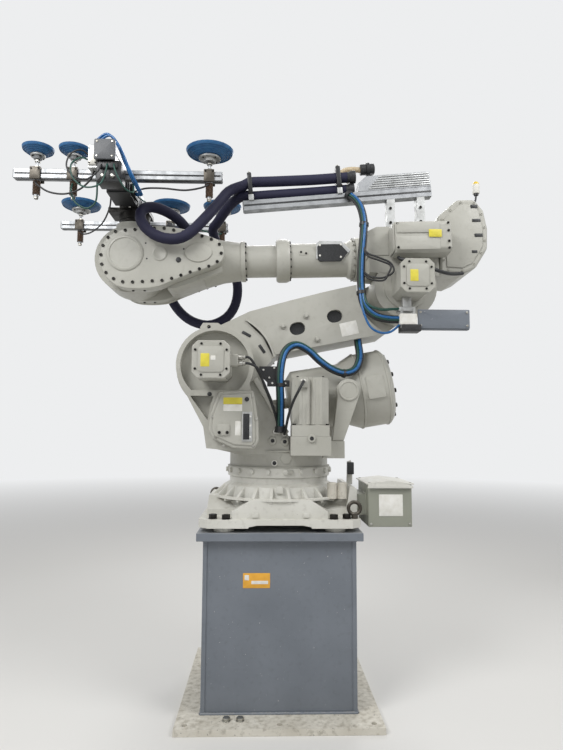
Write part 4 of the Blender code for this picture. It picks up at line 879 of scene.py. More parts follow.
# the cable connector below motor 3: a grey bracket, a white housing locked on a black one, and a slate plate
def connector():
    for name, (finish, blocks) in connectorGoods.items():
        grids = []
        for w, h, thick, corner, edge, spot in blocks:
            grids.append(nearFace(plaque(w, h, thick, corner, edge=edge), *spot))
        piece(f"connector.{name}", grids, finish, "upper_arm")
    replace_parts(bpy.data.objects["connector.socket"], "connector_block")
    spots = [(x, -0.3182, z) for z in (1.932, 1.864) for x in (0.702, 0.938)]
    screws = standing(button(0.006, 0.003), nearFace, *spots)
    piece("connector.screws", screws, zincSteel, "upper_arm")


# turned profiles are (radius, x from axis 3); a ring of screws is (x from axis 3, radius, count); the other
# places are in metres on the front tube's near face
foreArm = {
    "flange": [(0.108, -0.682), (0.114, -0.680), (0.120, -0.668), (0.120, -0.625), (0.112, -0.6073)],
    "tube": [(0.089, -0.8516), (0.089, -0.675)],
    "boltRings": {"tube.bolts": (blackSteel, [(-0.6068, 0.104, 16), (-0.8515, 0.1005, 14)]),
                  "tube.boltsPale": (zincSteel, [(-0.262, 0.114, 18)])},
    "hatch": [(0.197, 2.268), (0.197, 2.352), (0.214, 2.366), (0.334, 2.366), (0.385, 2.316),
              (0.334, 2.258), (0.214, 2.258)],
    "hatchScrews": [(0.216, -0.1072, 2.282), (0.216, -0.1072, 2.340), (0.330, -0.1072, 2.346),
                    (0.330, -0.1072, 2.276)],
    "slot": (0.128, -0.0925, 2.300), "slotScrews": [(0.114, -0.0966, 2.304), (0.142, -0.0966, 2.297)]}


# along the fore-arm: the extension tube with its turned flange, rings of socket screws whose heads look
# back to the elbow, and the hatch and the slot of the front tube
def tubeGoods():
    x3 = axis3[0]
    grids = [onArm(setAt(turned(foreArm[k], 64), (x3, 0, lineZ), (0, 1, 0), (0, 0, 1), (1, 0, 0)))
             for k in ("flange", "tube")]
    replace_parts(piece("extension.tube", grids, enamelGrey, "wrist"), "extension_tube")
    for name, (finish, rings) in foreArm["boltRings"].items():
        heads = []
        for at, radius, count in rings:
            for k in range(count):
                a = 2 * np.pi * (k + 0.5) / count
                spot = (x3 + at, radius * math.cos(a), lineZ + radius * math.sin(a))
                heads += [onArm(setAt(g, spot, (0, 1, 0), (0, 0, 1), (1, 0, 0)))
                          for g in socketHead(0.0062, 0.0065)]
        piece(name, heads, finish, "wrist")
    piece("hatch.rim", [nearFace(drawn(foreArm["hatch"], 0, 0.008, 0.001), 0, -0.0945, 0)], castAlu, "wrist")
    piece("hatch.screws", standing(button(0.0055, 0.003), nearFace, *foreArm["hatchScrews"]), paperWhite,
          "wrist")
    piece("tube.slot", [nearFace(plaque(0.050, 0.030, 0.004, 0.010), *foreArm["slot"])], enamelGrey, "wrist")
    piece("tube.slotScrews", standing(button(0.006, 0.003), nearFace, *foreArm["slotScrews"]), blackSteel,
          "wrist")


# the lamp's foot and the knots of its post, in metres; its profiles are (radius, height over the foot)
lampGoods = {"foot": (1.100, -0.060, 2.664),
             "drum": [(0.0185, 0), (0.0195, 0.002), (0.0195, 0.050), (0.0175, 0.052)],
             "dome": [(0.0172, 0.052), (0.0165, 0.058), (0.0120, 0.066), (0.0060, 0.070)],
             "collar": [(0.013, -0.010), (0.013, 0.0), (0.010, 0.002)],
             "post": [(1.070, -0.060, 2.520), (1.086, -0.060, 2.590), (1.096, -0.060, 2.630),
                      (1.100, -0.060, 2.666)]}


# the signal lamp: a white drum with a yellow dome, on a bent post from the gear cover
def signalLamp():
    foot = lampGoods["foot"]
    drum = setAt(turned(lampGoods["drum"], 32), foot)
    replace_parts(piece("lamp.drum", [drum], paperWhite, "upper_arm"), "signal_lamp")
    piece("lamp.dome", [setAt(turned(lampGoods["dome"], 32), foot)], lampYellow, "upper_arm")
    post = tube(throughKnots(lampGoods["post"], 0.008), 0.0055, 12)
    piece("lamp.post", [post, setAt(turned(lampGoods["collar"], 24), foot)], blackPlastic, "upper_arm")


gearCover()
wristMotors()
connector()
signalLamp()
tubeGoods()
print("upper arm dressed")


# the wrist: two cheeks that carry the tilt axis, bolted covers over them, the neck behind. Outlines count
# from the tilt axis along the arm's line
wristGoods = {
    "cover": [(-0.135, -0.028), (-0.119, 0.045), (-0.081, 0.097), (-0.004, 0.131), (0.090, 0.143),
              (0.194, 0.143), (0.314, 0.123), (0.416, 0.092), (0.485, 0.060), (0.516, 0.004),
              (0.506, -0.047), (0.466, -0.073), (0.345, -0.115), (0.254, -0.149), (0.145, -0.188),
              (-0.005, -0.186), (-0.081, -0.146), (-0.118, -0.088)],
    "boltLine": [(-0.113, 0.042), (-0.124, -0.017), (-0.111, -0.082), (-0.068, -0.129), (-0.012, -0.153),
                 (0.055, -0.155), (0.128, -0.152), (0.210, -0.148), (0.272, -0.130), (0.389, -0.092),
                 (0.453, -0.073), (0.492, -0.040), (0.502, 0.012), (0.484, 0.045), (0.414, 0.080),
                 (0.256, 0.118), (0.186, 0.130), (0.043, 0.124), (-0.028, 0.119), (-0.060, 0.112),
                 (-0.082, 0.092)],
    "marks": [(0.108, 0.051), (0.113, -0.032), (0.162, 0.026), (0.208, -0.007), (0.306, 0.016),
              (0.362, 0.016)],
    "bolts": 30, "coverBack": 0.1803, "coverFace": 0.1997, "cheekBack": 0.106,
    "cap": [(0.096, 0.0), (0.096, 0.004), (0.091, 0.008), (0.082, 0.008), (0.079, 0.004), (0.030, 0.004)],
    "eye": [(0.040, -0.001), (0.040, 0.003), (0.036, 0.0055), (0.030, 0.0055), (0.027, 0.003)],
    "eyeAt": (0.180, -0.005),
    "drop": [(-0.062, 0.0), (-0.036, 0.040), (0.018, 0.052), (0.064, 0.034), (0.082, -0.004),
             (0.058, -0.036), (0.010, -0.050), (-0.038, -0.036)],
    "dropAt": (0.372, -0.006), "plugAt": (0.278, -0.042),
    "neck": [(0.140, 0.400), (0.136, 0.430), (0.118, 0.500), (0.106, 0.596), (0.112, 0.600), (0.112, 0.6224)],
    "middle": [(0.205, -0.172), (0.250, -0.170), (0.420, -0.112), (0.500, -0.085), (0.500, 0.070),
               (0.400, 0.105), (0.300, 0.128), (0.205, 0.060)],
    "middleHalf": 0.112, "cheekBolts": [(0.03, -0.1853), (0.09, -0.1853)], "cheekY": 0.142}


# both cheeks with their covers; on each cover a line of bolts at an even spacing, a ringed cap on the tilt
# axis, a smaller ring, a raised drop and plugs; then the neck and the middle between the cheeks
def wrist():
    origin = np.array((sketch5, lineZ))
    outline = smoothLoop(wristGoods["cover"], 96)
    cheek = inset(outline[::-1], 0.005)
    grids = []
    boltLine = spaced(smoothLoop(wristGoods["boltLine"], 200), wristGoods["bolts"]) + origin
    drop = smoothLoop(wristGoods["drop"], 48) + origin + wristGoods["dropAt"]
    for side, place, s in (("near", nearFace, -1), ("far", farFace, 1)):
        flip = (-s, 1.0)
        grids.append(onArm(place(drawn((cheek + origin) * flip, 0, 0.0735, 0.004, 3), 0,
                                 s * wristGoods["cheekBack"], 0)))
        cover = onArm(place(drawn((outline + origin) * flip, 0, 0.0195, 0.007, 5), 0,
                            s * wristGoods["coverBack"], 0))
        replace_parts(piece(f"wrist.cover.{side}", [cover], enamelGrey, "wrist", 50), f"wrist_cover_{side}")
        face = s * wristGoods["coverFace"]
        heads = standing(socketHead(0.0085, 0.0055), place, *[(x, face, z) for x, z in boltLine])
        piece(f"wrist.bolts.{side}", [onArm(g) for g in heads], blackSteel, "wrist")
        raised = [place(turned(wristGoods["cap"], 72), origin[0], face, origin[1])]
        x, z = origin + wristGoods["eyeAt"]
        raised += [place(turned(wristGoods["eye"], 40), x, face, z)]
        raised += [place(drawn(drop * flip, -0.001, 0.0055, 0.004, 4), 0, face, 0)]
        piece(f"wrist.forms.{side}", [onArm(g) for g in raised], enamelGrey, "wrist", 50)
        face = s * 0.2000
        spots = [(x, face, z) for x, z in origin + wristGoods["marks"]]
        small = standing(button(0.0045, 0.0015), place, *spots)
        x, z = origin + wristGoods["plugAt"]
        small += standing(button(0.014, 0.004), place, (x, face, z))
        piece(f"wrist.plugs.{side}", [onArm(g) for g in small], blackPlastic, "wrist")
    grids.append(onArm(setAt(turned(wristGoods["neck"], 64), (sketch5, 0, lineZ), (0, 1, 0), (0, 0, 1),
                             (1, 0, 0))))
    half = wristGoods["middleHalf"]
    grids.append(onArm(nearFace(drawn(wristGoods["middle"] + origin, -half, half, 0.002), 0, 0, 0)))
    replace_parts(piece("wrist.body", grids, enamelGrey, "wrist", 45), "wrist_housing")
    heads = []
    for s in (-1, 1):
        for x, z in wristGoods["cheekBolts"]:
            spot = (sketch5 + x, s * wristGoods["cheekY"], lineZ + z)
            heads += [onArm(setAt(g, spot, (1, 0, 0), (0, -1, 0), (0, 0, -1)))
                      for g in socketHead(0.007, 0.005)]
    piece("wrist.cheekBolts", heads, blackSteel, "wrist")


wrist()
print("wrist dressed")


# the rail over the arm: a point is so far along it from its left end and so far above its middle line
railGoods = {"left": (-0.200, 2.54850), "right": (0.828, 2.64700), "half": 0.027, "y": -0.100,
             "clamps": (0.045, 0.530), "box": (0.400, 0.086), "boxRibs": 6, "boxFar": 0.0702,
             "brackets": (0.600, 0.765), "bracketBolts": (2.545, 2.465), "bracketFace": -0.1272}
railLine = np.array(railGoods["right"]) - railGoods["left"]
railLength = float(np.linalg.norm(railLine))
railAlong = np.array((railLine[0], 0, railLine[1])) / railLength
railUp = np.array((-railAlong[2], 0, railAlong[0]))


def onRail(t, y, lift):  # a point so far along the rail and so far above its middle line
    return np.array((railGoods["left"][0], y, railGoods["left"][1])) + railAlong * t + railUp * lift


def railFace(grid, t, y, lift):  # stands on the rail's near side
    return setAt(grid, onRail(t, y, lift), railAlong, railUp, (0, -1, 0))


# on the rail: a black strip of painted shade for the slot down each side and a black end cap, then the ribs
# of the box behind
def rail():
    h, y = railGoods["half"], railGoods["y"]
    # a black strip of painted shade for each side's slot
    slot = plaque(railLength - 0.006, 0.010, 0.0008, 0.001)
    grids = [railFace(slot, railLength / 2, y - h - gap, 0),
             setAt(slot, onRail(railLength / 2, y + h + gap, 0), railAlong, railUp, (0, 1, 0)),
             setAt(plaque(0.050, 0.050, 0.004, 0.004), onRail(-0.0003, y, 0), (0, 1, 0), railUp, -railAlong)]
    piece("rail.slots", grids, blackPlastic, "upper_arm")
    length, high = railGoods["box"]
    count = railGoods["boxRibs"]
    ribs = []
    for k in range(count):
        lift = h + 0.008 + (k + 0.5) * (high - 0.012) / count
        long = length - 0.060 - 0.012 * k
        rib = plaque(long, 0.0065, 0.004, 0.002, edge=0.0015)
        for face, out in ((y - h - gap, -1), (railGoods["boxFar"], 1)):
            middle = onRail(railLength - long / 2 - 0.004, face, lift)
            ribs.append(setAt(rib, middle, railAlong * -out, railUp, (0, out, 0)))
    piece("rail.ribs", ribs, castAlu, "upper_arm")
    railClamps(h, y)
    face = railGoods["bracketFace"]
    spots = [(x, face, z + (x - 0.6) * 0.05) for x in railGoods["brackets"]
             for z in railGoods["bracketBolts"]]
    piece("bracket.bolts", standing(socketHead(0.0075, 0.006), nearFace, *spots), blackSteel, "upper_arm")


# each hose clamp: a block on the rail, the clamp's body and its two screws
def railClamps(h, y):
    for name, t in zip(("front", "rear"), railGoods["clamps"]):
        start = onRail(t - 0.014, y + 0.002, 0)
        block = setAt(plaque(0.080, 0.034, 0.028, 0.003, edge=0.0015), start + railUp * (h + 0.0135),
                      (0, 1, 0), railUp, railAlong)
        piece(f"clamp.block.{name}", [block], castAlu, "upper_arm")
        body = setAt(plaque(0.096, 0.126, 0.024, 0.022, edge=0.003),
                     start + railUp * (h + 0.093) + railAlong * 0.002, (0, 1, 0), railUp, railAlong)
        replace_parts(piece(f"clamp.{name}", [body], blackPlastic, "upper_arm"), f"hose_clamp_{name}")
        top = start + railUp * (h + 0.156) + railAlong * 0.014
        tops = [setAt(g, top + np.array((0, k, 0))) for k in (-0.030, 0.030)
                for g in socketHead(0.005, 0.005)]
        piece(f"clamp.screws.{name}", tops, zincSteel, "upper_arm")


rail()
print("rail dressed")


# a hose or cable along its knots. One that crosses a joint is given no body and stays where it is laid.
# Around gives the
# place of one cable in its bundle: an angle round the bundle's line and a distance off it
def cable(name, knots, radius, finish, body, across=None, around=None, sides=12):
    line = throughKnots(knots, max(0.010, radius * 1.1))
    if around is not None:
        angle, away = around
        n, b = sideways(line)
        line = line + away * (math.cos(angle) * n + math.sin(angle) * b)
    run = tube(line, radius, sides)
    if across is None:
        ob = piece(name, [run], finish, body, 60)
    else:
        ob = piece(name, [run], finish, None, 60)
        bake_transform(ob)
    return line


# each hose starts with points on the rail (along it, y, above it) and goes on free in metres. A bend is the
# stretch over which it passes from the upper arm to the wrist
hoseRoutes = {
    "radius": 0.028,
    "front": [(0.620, -0.114, 0.118), (0.500, -0.114, 0.119), (0.380, -0.114, 0.120),
              (0.260, -0.114, 0.124), (0.150, -0.114, 0.128), (0.050, -0.116, 0.131)],
    "frontFree": [(-0.199, -0.118, 2.665), (-0.276, -0.130, 2.628), (-0.324, -0.165, 2.555),
                  (-0.385, -0.215, 2.455), (-0.462, -0.250, 2.356), (-0.517, -0.262, 2.317),
                  (-0.581, -0.265, 2.311), (-0.647, -0.262, 2.332), (-0.704, -0.256, 2.381),
                  (-0.728, -0.244, 2.435), (-0.718, -0.222, 2.482), (-0.676, -0.185, 2.509),
                  (-0.615, -0.135, 2.506), (-0.562, -0.080, 2.486), (-0.530, -0.010, 2.466),
                  (-0.522, 0.060, 2.462), (-0.548, 0.115, 2.470), (-0.602, 0.128, 2.490),
                  (-0.656, 0.110, 2.508)],
    "back": [(0.610, -0.092, 0.057), (0.500, -0.092, 0.058), (0.380, -0.092, 0.058),
             (0.260, -0.092, 0.059), (0.150, -0.092, 0.060), (0.050, -0.092, 0.061)],
    "backFree": [(-0.205, -0.085, 2.622), (-0.279, -0.040, 2.585), (-0.353, 0.060, 2.524),
                 (-0.387, 0.120, 2.492), (-0.350, 0.215, 2.400), (-0.275, 0.248, 2.295),
                 (-0.246, 0.248, 2.190), (-0.260, 0.248, 2.082), (-0.313, 0.248, 2.003),
                 (-0.407, 0.248, 1.960), (-0.503, 0.248, 1.977), (-0.580, 0.250, 2.030),
                 (-0.640, 0.256, 2.115), (-0.668, 0.262, 2.220), (-0.690, 0.262, 2.330),
                 (-0.740, 0.245, 2.440), (-0.800, 0.180, 2.510), (-0.845, 0.105, 2.536)],
    "frontBend": [(-0.22, -0.12, 2.62), (-0.50, -0.20, 2.45)],
    "backBend": [(-0.24, 0.0, 2.58), (-0.42, 0.15, 2.48)]}
ductGoods = {
    "knots": [(0.600, -0.055, 0.120), (0.560, -0.050, 0.160), (0.580, -0.048, 0.186),
              (0.625, -0.045, 0.192), (0.672, -0.045, 0.186)],
    "spacing": 0.0022, "wave": 3.6,
    "drum": [(0.026, 0), (0.030, 0.003), (0.030, 0.034), (0.037, 0.036), (0.037, 0.052), (0.030, 0.054),
             (0.030, 0.078), (0.024, 0.082)],
    "drumAt": (0.668, -0.045, 0.186), "blockAt": (0.720, -0.058, 0.146),
    "stub": [(0.017, 0), (0.019, 0.003), (0.019, 0.040), (0.015, 0.044)], "stubAt": (0.545, -0.040, 0.070)}


# the two hoses, held by the clamps, then free to the wrist. Each has a cuff at its rear clamp and a fitting
# at its end
def hoses():
    r = hoseRoutes["radius"]
    for side in ("front", "back"):
        knots = [onRail(*spot) for spot in hoseRoutes[side]] + hoseRoutes[side + "Free"]
        across = ("upper_arm", "wrist", *hoseRoutes[side + "Bend"])
        line = cable(f"hose.{side}", knots, r, hoseNavy, None, across, sides=20)
        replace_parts(bpy.data.objects[f"hose.{side}"], f"hose_{side}")
        fitting = turned([(0.033, 0), (0.034, 0.004), (0.034, 0.026), (0.029, 0.032), (0.029, 0.046)], 24)
        piece(f"hose.cuff.{side}", [aim(fitting, line[0] + railAlong * 0.004, tuple(-railAlong))],
              blackPlastic, "upper_arm")
        last = line[-1] - line[-3]
        back = tuple(-last / np.linalg.norm(last))
        piece(f"hose.end.{side}", [aim(fitting, line[-1], back)], blackPlastic, "wrist")


# the cream duct over the rail: a tube whose radius is a sine wave of its length, its black fitting, its stub
def duct():
    line = throughKnots([onRail(*spot) for spot in ductGoods["knots"]], ductGoods["spacing"])
    ripple = 0.0155 + 0.0016 * np.sin(np.arange(len(line)) * 2 * np.pi / ductGoods["wave"])
    piece("duct", [tube(line, ripple, 20)], ductCream, "upper_arm", 60)
    drum = aim(turned(ductGoods["drum"], 28), onRail(*ductGoods["drumAt"]), tuple(railAlong))
    block = setAt(plaque(0.030, 0.070, 0.026, 0.004), onRail(*ductGoods["blockAt"]), railAlong, railUp,
                  (0, 1, 0))
    piece("duct.fitting", [drum, block], blackPlastic, "upper_arm")
    stub = aim(turned(ductGoods["stub"], 24), onRail(*ductGoods["stubAt"]), tuple(railUp))
    piece("duct.stub", [stub], ductCream, "upper_arm")


# the low bundle climbs from the frame, loops over its bracket and ends under the lower arm; the high one
# runs from the connector below the elbow up to the rail. A cable is a finish, a radius and an angle
bundle = {
    "low": [(0.000, -0.290, 1.330), (0.000, -0.303, 1.480), (-0.002, -0.303, 1.620),
            (0.020, -0.290, 1.725), (0.075, -0.270, 1.768), (0.140, -0.250, 1.745), (0.203, -0.240, 1.690),
            (0.265, -0.230, 1.650), (0.328, -0.215, 1.632), (0.385, -0.205, 1.650), (0.412, -0.190, 1.700),
            (0.418, -0.160, 1.750), (0.418, -0.125, 1.795), (0.418, -0.105, 1.828)],
    "high": [(0.600, -0.299, 1.897), (0.540, -0.299, 1.899), (0.474, -0.294, 1.918),
             (0.428, -0.280, 1.972), (0.414, -0.264, 2.060), (0.415, -0.260, 2.196),
             (0.428, -0.255, 2.340), (0.434, -0.238, 2.430), (0.424, -0.205, 2.515),
             (0.400, -0.170, 2.575), (0.372, -0.140, 2.610)],
    "lowCables": [(blackRubber, 0.0085, 0.2), (greenCable, 0.0066, 1.25), (blueHose, 0.0080, 2.4),
                  (blackRubber, 0.0085, 3.7), (blackRubber, 0.0070, 4.9)],
    "highCables": [(blackRubber, 0.0088, 0.35), (greenCable, 0.0056, 1.35), (blueHose, 0.0074, 2.25),
                   (blackRubber, 0.0080, 3.5), (blackRubber, 0.0085, 4.8)],
    "away": 0.0125, "lowBend": [(0.018, -0.31, 1.48), (0.16, -0.25, 1.66)]}


# the cables of both bundles side by side round one line, and the black ties that hold them
def bundles():
    away = bundle["away"]
    across = ("frame", "lower_arm", *bundle["lowBend"])
    for k, (finish, r, angle) in enumerate(bundle["lowCables"]):
        cable(f"bundle.low.{k + 1}", bundle["low"], r, finish, None, across, (angle, away))
    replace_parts(bpy.data.objects["bundle.low.1"], "shoulder_cables")
    for k, (finish, r, angle) in enumerate(bundle["highCables"]):
        cable(f"bundle.high.{k + 1}", bundle["high"], r, finish, "upper_arm", None, (angle, away))
    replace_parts(bpy.data.objects["bundle.high.1"], "elbow_cables")

    def tie(name, at, direction, body, r=0.0225, wide=0.020):
        band = turned([(r - 0.002, 0), (r, 0.002), (r, wide - 0.002), (r - 0.002, wide)], 24)
        piece(name, [aim(band, at, direction)], blackPlastic, body)

    low, high = np.array(bundle["low"]), np.array(bundle["high"])
    tie("tie.foot", low[0] - (0, 0, 0.004), (0, 0.05, 1), "frame", 0.026, 0.030)
    tie("tie.bracket", low[1] + (0, 0, 0.070), (0, 0, 1), "frame")
    tie("tie.arm", low[8] - (0.008, 0, 0), tuple(low[8] - low[7]), "lower_arm")
    tie("tie.mid", high[4] - (0, 0, 0.030), (0.0, 0.1, 1), "upper_arm", 0.0255)
    tie("tie.top", high[7] - (0, 0, 0.030), (0.08, 0.1, 1), "upper_arm", 0.0255)
    tie("tie.end", high[-1] - (-0.006, 0.008, 0.008), (-0.5, 0.5, 0.6), "upper_arm", 0.024, 0.024)


# from the outlets of the motors of axes 1 and 2 to glands in the frame's web
def motorCables():
    thin = 0.0062
    for k, z in enumerate((1.676, 1.648)):
        knots = [(-0.178, -0.470, z), (-0.150, -0.470, z - 0.001),
                 (-0.120 + 0.010 * k, -0.455, 1.634 - 0.010 * k),
                 (-0.078, -0.405 + 0.012 * k, 1.553 - 0.006 * k),
                 (-0.040, -0.345 + 0.010 * k, 1.460 - 0.004 * k), (-0.014, -0.290, 1.370),
                 (-0.008 - 0.016 * k, -0.262, 1.330)]
        cable(f"motor2.cable.{k + 1}", knots, thin, blackRubber, "frame")
    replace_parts(bpy.data.objects["motor2.cable.1"], "motor_cables")
    cable("motor1.cable", [(0.106, -0.4280, 1.568), (0.104, -0.448, 1.564), (0.085, -0.464, 1.530),
                           (0.056, -0.445, 1.470), (0.036, -0.400, 1.405), (0.026, -0.335, 1.345),
                           (0.022, -0.262, 1.318)], 0.0066, blackRubber, "frame")
    piece("frame.glands", standing(button(0.014, 0.008), nearFace, (-0.008, -0.2553, 1.330),
                                   (-0.024, -0.2553, 1.330), (0.022, -0.2553, 1.318)), zincSteel, "frame")


# at the elbow: the connector's two lines, motor 3's cable and two loops of thin cable
def elbowCables():
    cable("bracket.cable", [(0.420, -0.262, 2.110), (0.423, -0.280, 2.030), (0.442, -0.300, 1.972),
                            (0.500, -0.312, 1.945), (0.560, -0.316, 1.946), (0.594, -0.316, 1.947)],
          0.0070, greenCable, "upper_arm")
    cable("air.line", [(0.408, -0.262, 2.110), (0.405, -0.282, 2.020), (0.416, -0.300, 1.940),
                       (0.446, -0.310, 1.862), (0.492, -0.312, 1.829), (0.548, -0.310, 1.830),
                       (0.606, -0.303, 1.874)], 0.0060, blueHose, "upper_arm")
    cable("motor3.cable", [(0.600, -0.300, 2.2180), (0.606, -0.318, 2.205), (0.650, -0.340, 2.186),
                           (0.7065, -0.340, 2.1635), (0.775, -0.325, 2.150), (0.848, -0.285, 2.144),
                           (0.905, -0.240, 2.152), (0.960, -0.2085, 2.165)], 0.0095, blackRubber,
          "upper_arm")
    for k, drop in enumerate((0.0, 0.014)):
        cable(f"elbow.loop.{k + 1}", [(0.420, -0.262, 2.300), (0.442, -0.285, 2.245 - drop),
                                      (0.500, -0.304, 2.214 - drop), (0.556, -0.312, 2.185 - drop),
                                      (0.570 - 2 * drop, -0.314, 2.140 - drop), (0.520, -0.306, 2.110 - drop),
                                      (0.460, -0.290, 2.118 - drop), (0.425, -0.268, 2.150 - drop)], 0.0052,
              blackRubber, "upper_arm")


hoses()
duct()
bundles()
motorCables()
elbowCables()
print("hoses and cables laid")


springBrown = moulded("spring guard brown", "#4E3D30", "#6A5443", 120, 0.55, 0.4)
coverGrey = moulded("moulded end cap grey", "#4A4C4F", "#5A5C5F", 160, 0.5, 0.2)

# the gripper, in metres at rest: its bars lie along X, the cups look up. A cup is (x, radius), and a rib
# under its rubber is (share of the radius, lift)
gripper = {"barZ": 2.600, "cupZ": 2.700, "half": 0.0225, "length": 1.028, "beam": (-0.8450, 2.6628, 0.040),
           "beamMiddle": -0.030, "beamEnds": (-0.5022, 0.4302),
           "cupRibs": [(0.50, 0.0075), (0.62, 0.0105), (0.74, 0.0165), (0.85, 0.0225), (0.94, 0.0278)],
           "spring": {"radius": 0.0165, "wave": 0.0028, "turns": 9, "length": 0.066},
           "valveX": -0.063, "valveFace": -0.4802,
           "valvePost": [(0.012, 0), (0.012, 0.010), (0.009, 0.012), (0.009, 0.024)],
           "valvePostAt": (-0.440, 2.6972),
           "fitting": [(0.009, 0), (0.009, 0.010), (0.006, 0.012), (0.006, 0.020)],
           "adapterBolts": (6, 0.070, 0.2955),
           "bars": {"near": (-0.8145, -0.350), "far": (-0.8330, 0.370)},
           "cups": {"near": [(-1.2210, 0.0775), (-1.0390, 0.0775), (-0.3630, 0.120)],
                    "far": [(-1.2340, 0.120), (-0.6740, 0.120), (-0.3540, 0.120)]}}


# black strips of painted shade for the slots down each of a bar's four sides and a cap on both ends; strips
# of painted shade for the slots on three sides of the beam, a cover on each end and four screws in the near
# one
def barGoods():
    z, h, length = gripper["barZ"], gripper["half"], gripper["length"]
    # black strips of painted shade where the extrusions' slots are
    slot = plaque(length - 0.010, 0.0085, 0.0008, 0.001)
    cap = plaque(0.043, 0.043, 0.003, 0.003)
    slotShade, caps = [], []
    for x, y in gripper["bars"].values():
        for s in (-1, 1):
            slotShade.append(setAt(slot, (x, y + s * (h + gap), z), (-s, 0, 0), (0, 0, 1), (0, s, 0)))
            slotShade.append(setAt(slot, (x, y, z + s * (h + gap)), (1, 0, 0), (0, s, 0), (0, 0, s)))
            caps.append(setAt(cap, (x + s * (length / 2 + gap), y, z), (0, s, 0), (0, 0, 1), (s, 0, 0)))
    x, z, half = gripper["beam"]
    y = gripper["beamMiddle"]
    slot = plaque(0.880, 0.010, 0.0008, 0.001)
    for s in (-1, 1):
        slotShade.append(setAt(slot, (x + s * (half + gap), y, z), (0, s, 0), (0, 0, 1), (s, 0, 0)))
        slotShade.append(setAt(slot, (x + s * 0.018, y, z + half + gap), (0, -1, 0), (1, 0, 0), (0, 0, 1)))
    piece("gripper.slots", slotShade, blackPlastic, "gripper")
    piece("gripper.caps", caps, coverGrey, "gripper")
    near, far = gripper["beamEnds"]
    covers = [nearFace(plaque(0.100, 0.100, 0.010, 0.008, edge=0.003), x, near, z),
              farFace(plaque(0.082, 0.082, 0.004, 0.004), x, far, z)]
    piece("beam.cover", covers, coverGrey, "gripper")
    spots = [(x + a * 0.036, near - 0.010, z + b * 0.036) for b in (-1, 1) for a in (-1, 1)]
    piece("beam.screws", standing(button(0.005, 0.003), nearFace, *spots), zincSteel, "gripper")


# on each cup: ring ribs under the rubber, a turned hub plate with four screws, the ribbed spring guard
# below the bar, two cheeks and a cap that clamp the bar, and the nuts of the stem
def cupGoods():
    ribs, hubs, screws, guards, clamps, heads, nuts = [], [], [], [], [], [], []
    z, h, top = gripper["barZ"], gripper["half"], gripper["cupZ"]
    spring = gripper["spring"]
    cheek = plaque(0.052, 0.064, 0.009, 0.004, edge=0.0015)
    for side, places in gripper["cups"].items():
        y = gripper["bars"][side][1]
        for x, r in places:
            at = np.array((x, y, 0.0))
            for share, lift in gripper["cupRibs"]:
                middle = r * share
                rib = [(middle - 0.002, lift + 0.001), (middle, lift - 0.0022),
                       (middle + 0.002, lift + 0.0015)]
                ribs.append(setAt(turned(rib, 48), at + (0, 0, top)))
            hub = [(r * 0.20, -0.020), (r * 0.24, -0.019), (r * 0.27, -0.008), (r * 0.44, -0.006),
                   (r * 0.46, -0.003), (r * 0.46, 0.0035), (r * 0.40, 0.0038)]
            hubs.append(setAt(turned(hub, 40), at + (0, 0, top)))
            for k in range(4):
                a = math.pi / 4 + k * math.pi / 2
                spot = at + (r * 0.36 * math.cos(a), r * 0.36 * math.sin(a), top - 0.0068)
                screws += [setAt(g, spot, (1, 0, 0), (0, -1, 0), (0, 0, -1))
                           for g in socketHead(0.0042, 0.004)]
            t = np.linspace(0, 1, 57)
            ripple = spring["radius"] + spring["wave"] * np.cos(t * 2 * np.pi * spring["turns"])
            body = np.column_stack([ripple, z - h - 0.012 - spring["length"] * t])
            guards.append(setAt(turned(body[::-1], 20), at))
            for s in (-1, 1):
                clamps.append(setAt(cheek, at + (0, s * (h + 0.0005), z), (-s, 0, 0), (0, 0, 1), (0, s, 0)))
                for k in (-0.018, 0.018):
                    spot = at + (k, s * (h + 0.0092), z + 0.022)
                    heads += [setAt(g, spot, (-s, 0, 0), (0, 0, 1), (0, s, 0))
                              for g in socketHead(0.0045, 0.0045)]
            clamps.append(setAt(plaque(0.052, 0.056, 0.010, 0.004, edge=0.0015), at + (0, 0, z + h + 0.0003)))
            nuts += [setAt(g, at + (0, 0, z + h + 0.0103)) for g in hexHead(0.026, 0.012)]
            nuts += [setAt(g, at + (0, 0, top - 0.034)) for g in hexHead(0.022, 0.010)]
            low = at + (0, 0, z - h - 0.090)
            nuts += [setAt(g, low, (1, 0, 0), (0, -1, 0), (0, 0, -1)) for g in hexHead(0.019, 0.012)]
    piece("cups.ribs", ribs, cupBlue, "gripper", 60)
    piece("cups.hubs", hubs, castAlu, "gripper")
    piece("cups.screws", screws, blackSteel, "gripper")
    piece("cups.guards", guards, springBrown, "gripper", 60)
    piece("cups.clamps", clamps, eyeSteel, "gripper")
    piece("cups.clampScrews", heads, blackSteel, "gripper")
    piece("cups.nuts", nuts, zincSteel, "gripper")


